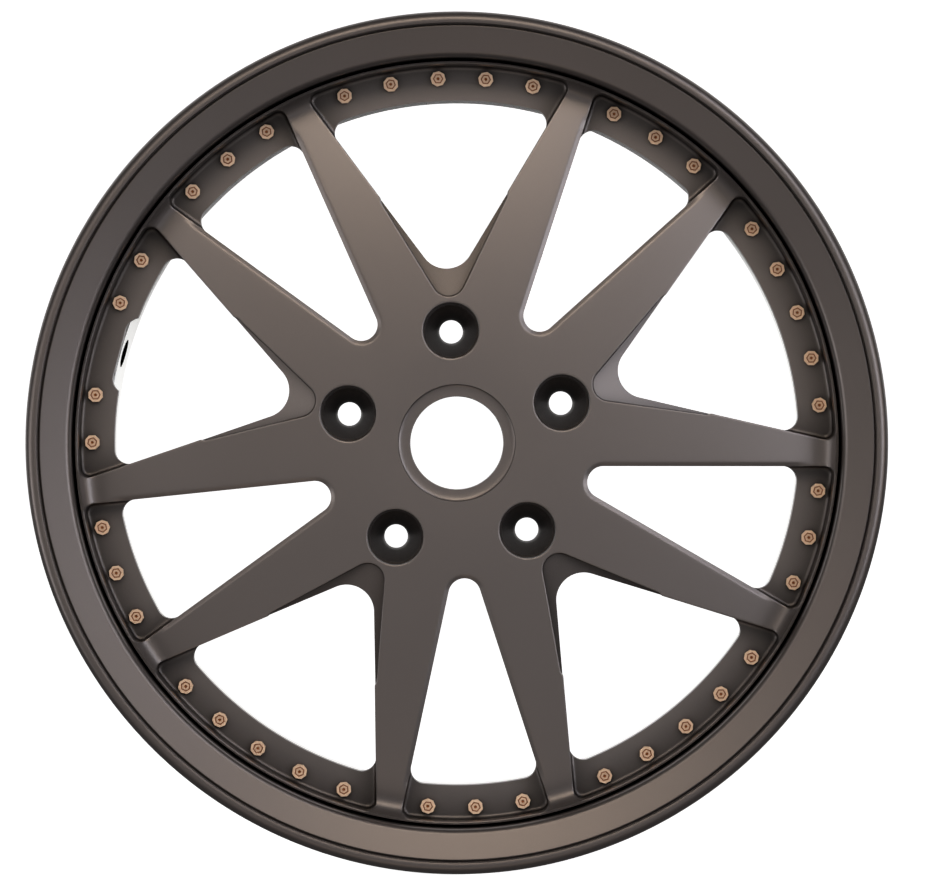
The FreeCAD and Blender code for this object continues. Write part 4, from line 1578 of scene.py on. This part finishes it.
@dataclass
class RimNut(Fastener):
    """Plain hexagon nut with chamfered corners."""

    across: float = 7.0
    sides: int = 6
    thread: float = 2.05
    chamfer: float = 0.35
    relief: float = 0.1
    mouth_shade: float = 0.4
    bore_shade: float = 0.5

    def rings(self) -> list[Ring]:
        """Rings from the bore at the seat, round the flats, to the bore at the free end.

        Returns:
            The rings.
        """
        _, seat, end = node_span(f"{self.node}_wide_window_1")
        flat = self.across / 2
        return [
            Ring(self.AROUND, self.thread, seat, self.mouth_shade),
            Ring(self.AROUND, flat - self.relief, seat),
            Ring(self.sides, flat, seat - self.chamfer),
            Ring(self.sides, flat, end + self.chamfer),
            Ring(self.AROUND, flat - self.relief, end),
            Ring(self.AROUND, self.thread + self.chamfer, end),
            Ring(self.AROUND, self.thread, end + self.chamfer, self.bore_shade),
        ]

    def close(self, rings: Sequence[Ring], faces: list[Sequence[int]]) -> None:
        """Join the last ring to the first along the bore.

        Args:
            rings: Rings of the fastener.
            faces: Faces between them, which the bore's are added to.
        """
        last = (len(rings) - 1) * self.AROUND
        for step in range(self.AROUND):
            ahead = (step + 1) % self.AROUND
            faces.append((last + step, last + ahead, ahead, step))


@dataclass
class RimSeal:
    """The seal between the two halves, which keeps its CAD mesh."""

    finish: Finish
    node: str = "rim_seal"

    def dress(self) -> None:
        """Give the CAD node its finish."""
        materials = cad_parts[self.node].data.materials
        materials.clear()
        materials.append(self.finish.material())
        LOG.info("%s keeps its CAD mesh", self.node)


@dataclass(frozen=True)
class SoftLight:
    """A soft light on a wide sphere round the wheel.

    Its tilt is the angle from the wheel's axis, and its clock the angle from the top, as seen from the
    front.
    """

    name: str
    tilt: float
    clock: float
    power: float
    tint: str
    size: float = 600.0
    reach: float = 1800.0

    def place(self) -> Vector:
        """Find where the light hangs.

        Returns:
            Its place in millimetres.
        """
        tilt, clock = math.radians(self.tilt), math.radians(self.clock)
        out = math.sin(tilt)
        return self.reach * Vector((out * math.sin(clock), -math.cos(tilt), out * math.cos(clock)))


@dataclass
class Studio:
    """White sweep, soft lights and the camera at the photograph's place."""

    picture_width: int = 925
    picture_height: int = 888
    wheel_x: float = 456.77
    wheel_y: float = 442.83
    wheel_radius: float = 431.47
    roll: float = 2.94
    distance: float = 1800.0
    sensor: float = 36.0
    paper_half: float = 4500.0
    bend_start: float = 2200.0
    bend: float = 800.0
    bend_steps: int = 9
    paper_tone: str = "f4f4f4"
    paper_roughness: float = 0.9
    paper_glow: float = 1.0
    backdrop_glow: float = 0.95
    air: float = 0.12

    LAMPS: ClassVar[tuple[SoftLight, ...]] = (
        SoftLight("front_fill", 0.0, 0.0, 9.6, "fffdfa", 3600.0, 2400.0),
        SoftLight("overhead_softbox", 32.0, 0.0, 7.2, "ffefd8"),
        SoftLight("upper_right_softbox", 45.0, 45.0, 5.2, "f2f6ff"),
        SoftLight("right_softbox", 45.0, 90.0, 6.6, "eef4ff"),
        SoftLight("right_near_fill", 32.0, 70.0, 1.2, "ffffff"),
        SoftLight("far_right_fill", 64.0, 90.0, 2.2, "fff4e6"),
        SoftLight("upper_left_fill", 36.0, 315.0, 1.4, "fff6ec"),
        SoftLight("far_left_fill", 64.0, 262.0, 5.0, "ffffff"),
        SoftLight("floor_bounce", 40.0, 190.0, 1.0, "ffe9d2"),
        SoftLight("left_fill", 48.0, 280.0, 2.2, "fffaf4"),
    )

    def paper(self, name: str, pairs: Sequence[tuple[Point, Point]], glow: float) -> bpy.types.Object:
        """A strip of white paper on the stage.

        Args:
            name: Name of the strip.
            pairs: Places in millimetres on the strip's two long edges, from one end to the other.
            glow: Strength of its own light, which keeps it white in the picture.

        Returns:
            The strip's object.
        """
        points = [point for pair in pairs for point in pair]
        faces = [(2 * n, 2 * n + 1, 2 * n + 3, 2 * n + 2) for n in range(len(pairs) - 1)]
        strip = make_piece(name, points, faces)
        material = bpy.data.materials.new(f"matte_white_{name}")
        material.use_nodes = True
        shader = material.node_tree.nodes["Principled BSDF"]
        shader.inputs["Base Color"].default_value = srgb(self.paper_tone)
        shader.inputs["Roughness"].default_value = self.paper_roughness
        shader.inputs["Emission Color"].default_value = srgb("ffffff")
        shader.inputs["Emission Strength"].default_value = glow
        strip.data.materials.append(material)
        # The paper is white in the picture, but adds no light of its own to the dark coats.
        strip.visible_diffuse = False
        return strip

    def floor(self) -> None:
        """Lay the pale floor, curve it up into the backdrop and close the stage at the sides and behind."""
        low, half, bend = CAD_BOUNDS[0][2] / MM, self.paper_half, self.bend
        flat = [(-half, low), (self.bend_start, low)]
        curve = arc_points((self.bend_start, low + bend), bend, -math.pi / 2, 0.0, bend / self.bend_steps)
        sweep = [*curve, (self.bend_start + bend, half)]
        ring = arc_points((0.0, 0.0), half, 0.0, math.tau, half / self.bend_steps)
        glow = self.paper_glow
        floor = self.paper("paper_floor", [((-half, *spot), (half, *spot)) for spot in flat], glow)
        self.paper("paper_backdrop", [((-half, *spot), (half, *spot)) for spot in sweep], self.backdrop_glow)
        around = self.paper("paper_surround", [((*spot, low), (*spot, half)) for spot in ring], glow)
        for paper in (floor, around):
            paper.visible_glossy = False
            paper.visible_shadow = False

    def light(self, lamp: SoftLight) -> None:
        """Hang a soft square light so that it faces the middle of the wheel.

        Args:
            lamp: The light.
        """
        data = bpy.data.lights.new(lamp.name, "AREA")
        data.size = lamp.size * MM
        data.energy = lamp.power
        data.color = srgb(lamp.tint)[:3]
        stand = bpy.data.objects.new(lamp.name, data)
        bpy.context.scene.collection.objects.link(stand)
        place = lamp.place() * MM
        aim = (-place).to_track_quat("-Z", "Y").to_matrix().to_4x4()
        stand.matrix_world = Matrix.Translation(place) @ aim

    def lights(self) -> None:
        """Set up the world and the lights."""
        scene = bpy.context.scene
        scene.view_settings.view_transform = "Standard"
        world = bpy.data.worlds.new("studio_air")
        scene.world = world
        world.use_nodes = True
        air = world.node_tree.nodes["Background"]
        air.inputs["Color"].default_value = srgb("ffffff")
        air.inputs["Strength"].default_value = self.air
        for lamp in self.LAMPS:
            self.light(lamp)

    def camera(self) -> None:
        """Place the camera in front of the wheel, on its axis."""
        radius, front, _ = node_span("front_rim_half")
        widest = front - FrontHalf.crest_round
        pixels = self.wheel_radius * (self.distance + front - widest) / radius
        lens = bpy.data.cameras.new("picture_camera")
        lens.sensor_width = self.sensor
        lens.lens = pixels / self.picture_width * self.sensor
        lens.shift_x = (self.picture_width / 2 - self.wheel_x) / self.picture_width
        lens.shift_y = (self.wheel_y - self.picture_height / 2) / self.picture_width
        eye = bpy.data.objects.new("picture_camera", lens)
        place = Matrix.Translation((0.0, -(front + self.distance) * MM, 0.0))
        level = Matrix.Rotation(math.pi / 2, 4, "X")
        eye.matrix_world = place @ level @ Matrix.Rotation(math.radians(-self.roll), 4, "Z")
        bpy.context.scene.collection.objects.link(eye)
        bpy.context.scene.camera = eye

    def build(self) -> None:
        """Build the whole studio."""
        self.floor()
        self.lights()
        self.camera()
        LOG.info("studio ready")


def main() -> None:
    """Build every piece of the wheel, then the studio."""
    logging.basicConfig(level=logging.INFO, format="%(name)s: %(message)s")
    disc_coat = SatinCoat("satin_coated_forged_aluminium", "706967", "756e6c")
    rim_coat = SatinCoat("satin_coated_spun_aluminium", "645d5b", "696260")
    # The plating of the bolts is pale and matte in the picture, so little of it mirrors. The dark second tone
    # of each plating is painted shade down a socket or bore, and wear along the grain.
    copper = PlatedSteel("copper_plated_steel", "ffdcbb", "8c4d22", roughness=0.46, metallic=0.15)
    zinc = PlatedSteel("zinc_plated_steel", "b4b6b8", "6f7072", roughness=0.41)
    CentreDisc(disc_coat).dress()
    FrontHalf("front_lip_half", "front_rim_half", rim_coat, "coated_aluminium_rim").dress()
    RearHalf("rear_barrel_half", "rear_rim_half", TurnedAluminium(), "bare_aluminium_barrel").dress()
    RimBolt("rim_bolts", copper, "copper_plated_steel", "bolts").dress()
    RimNut("rim_nuts", zinc, "zinc_plated_steel", "nuts").dress()
    RimSeal(SealRubber()).dress()
    Studio().build()


if __name__ == "__main__":
    main()
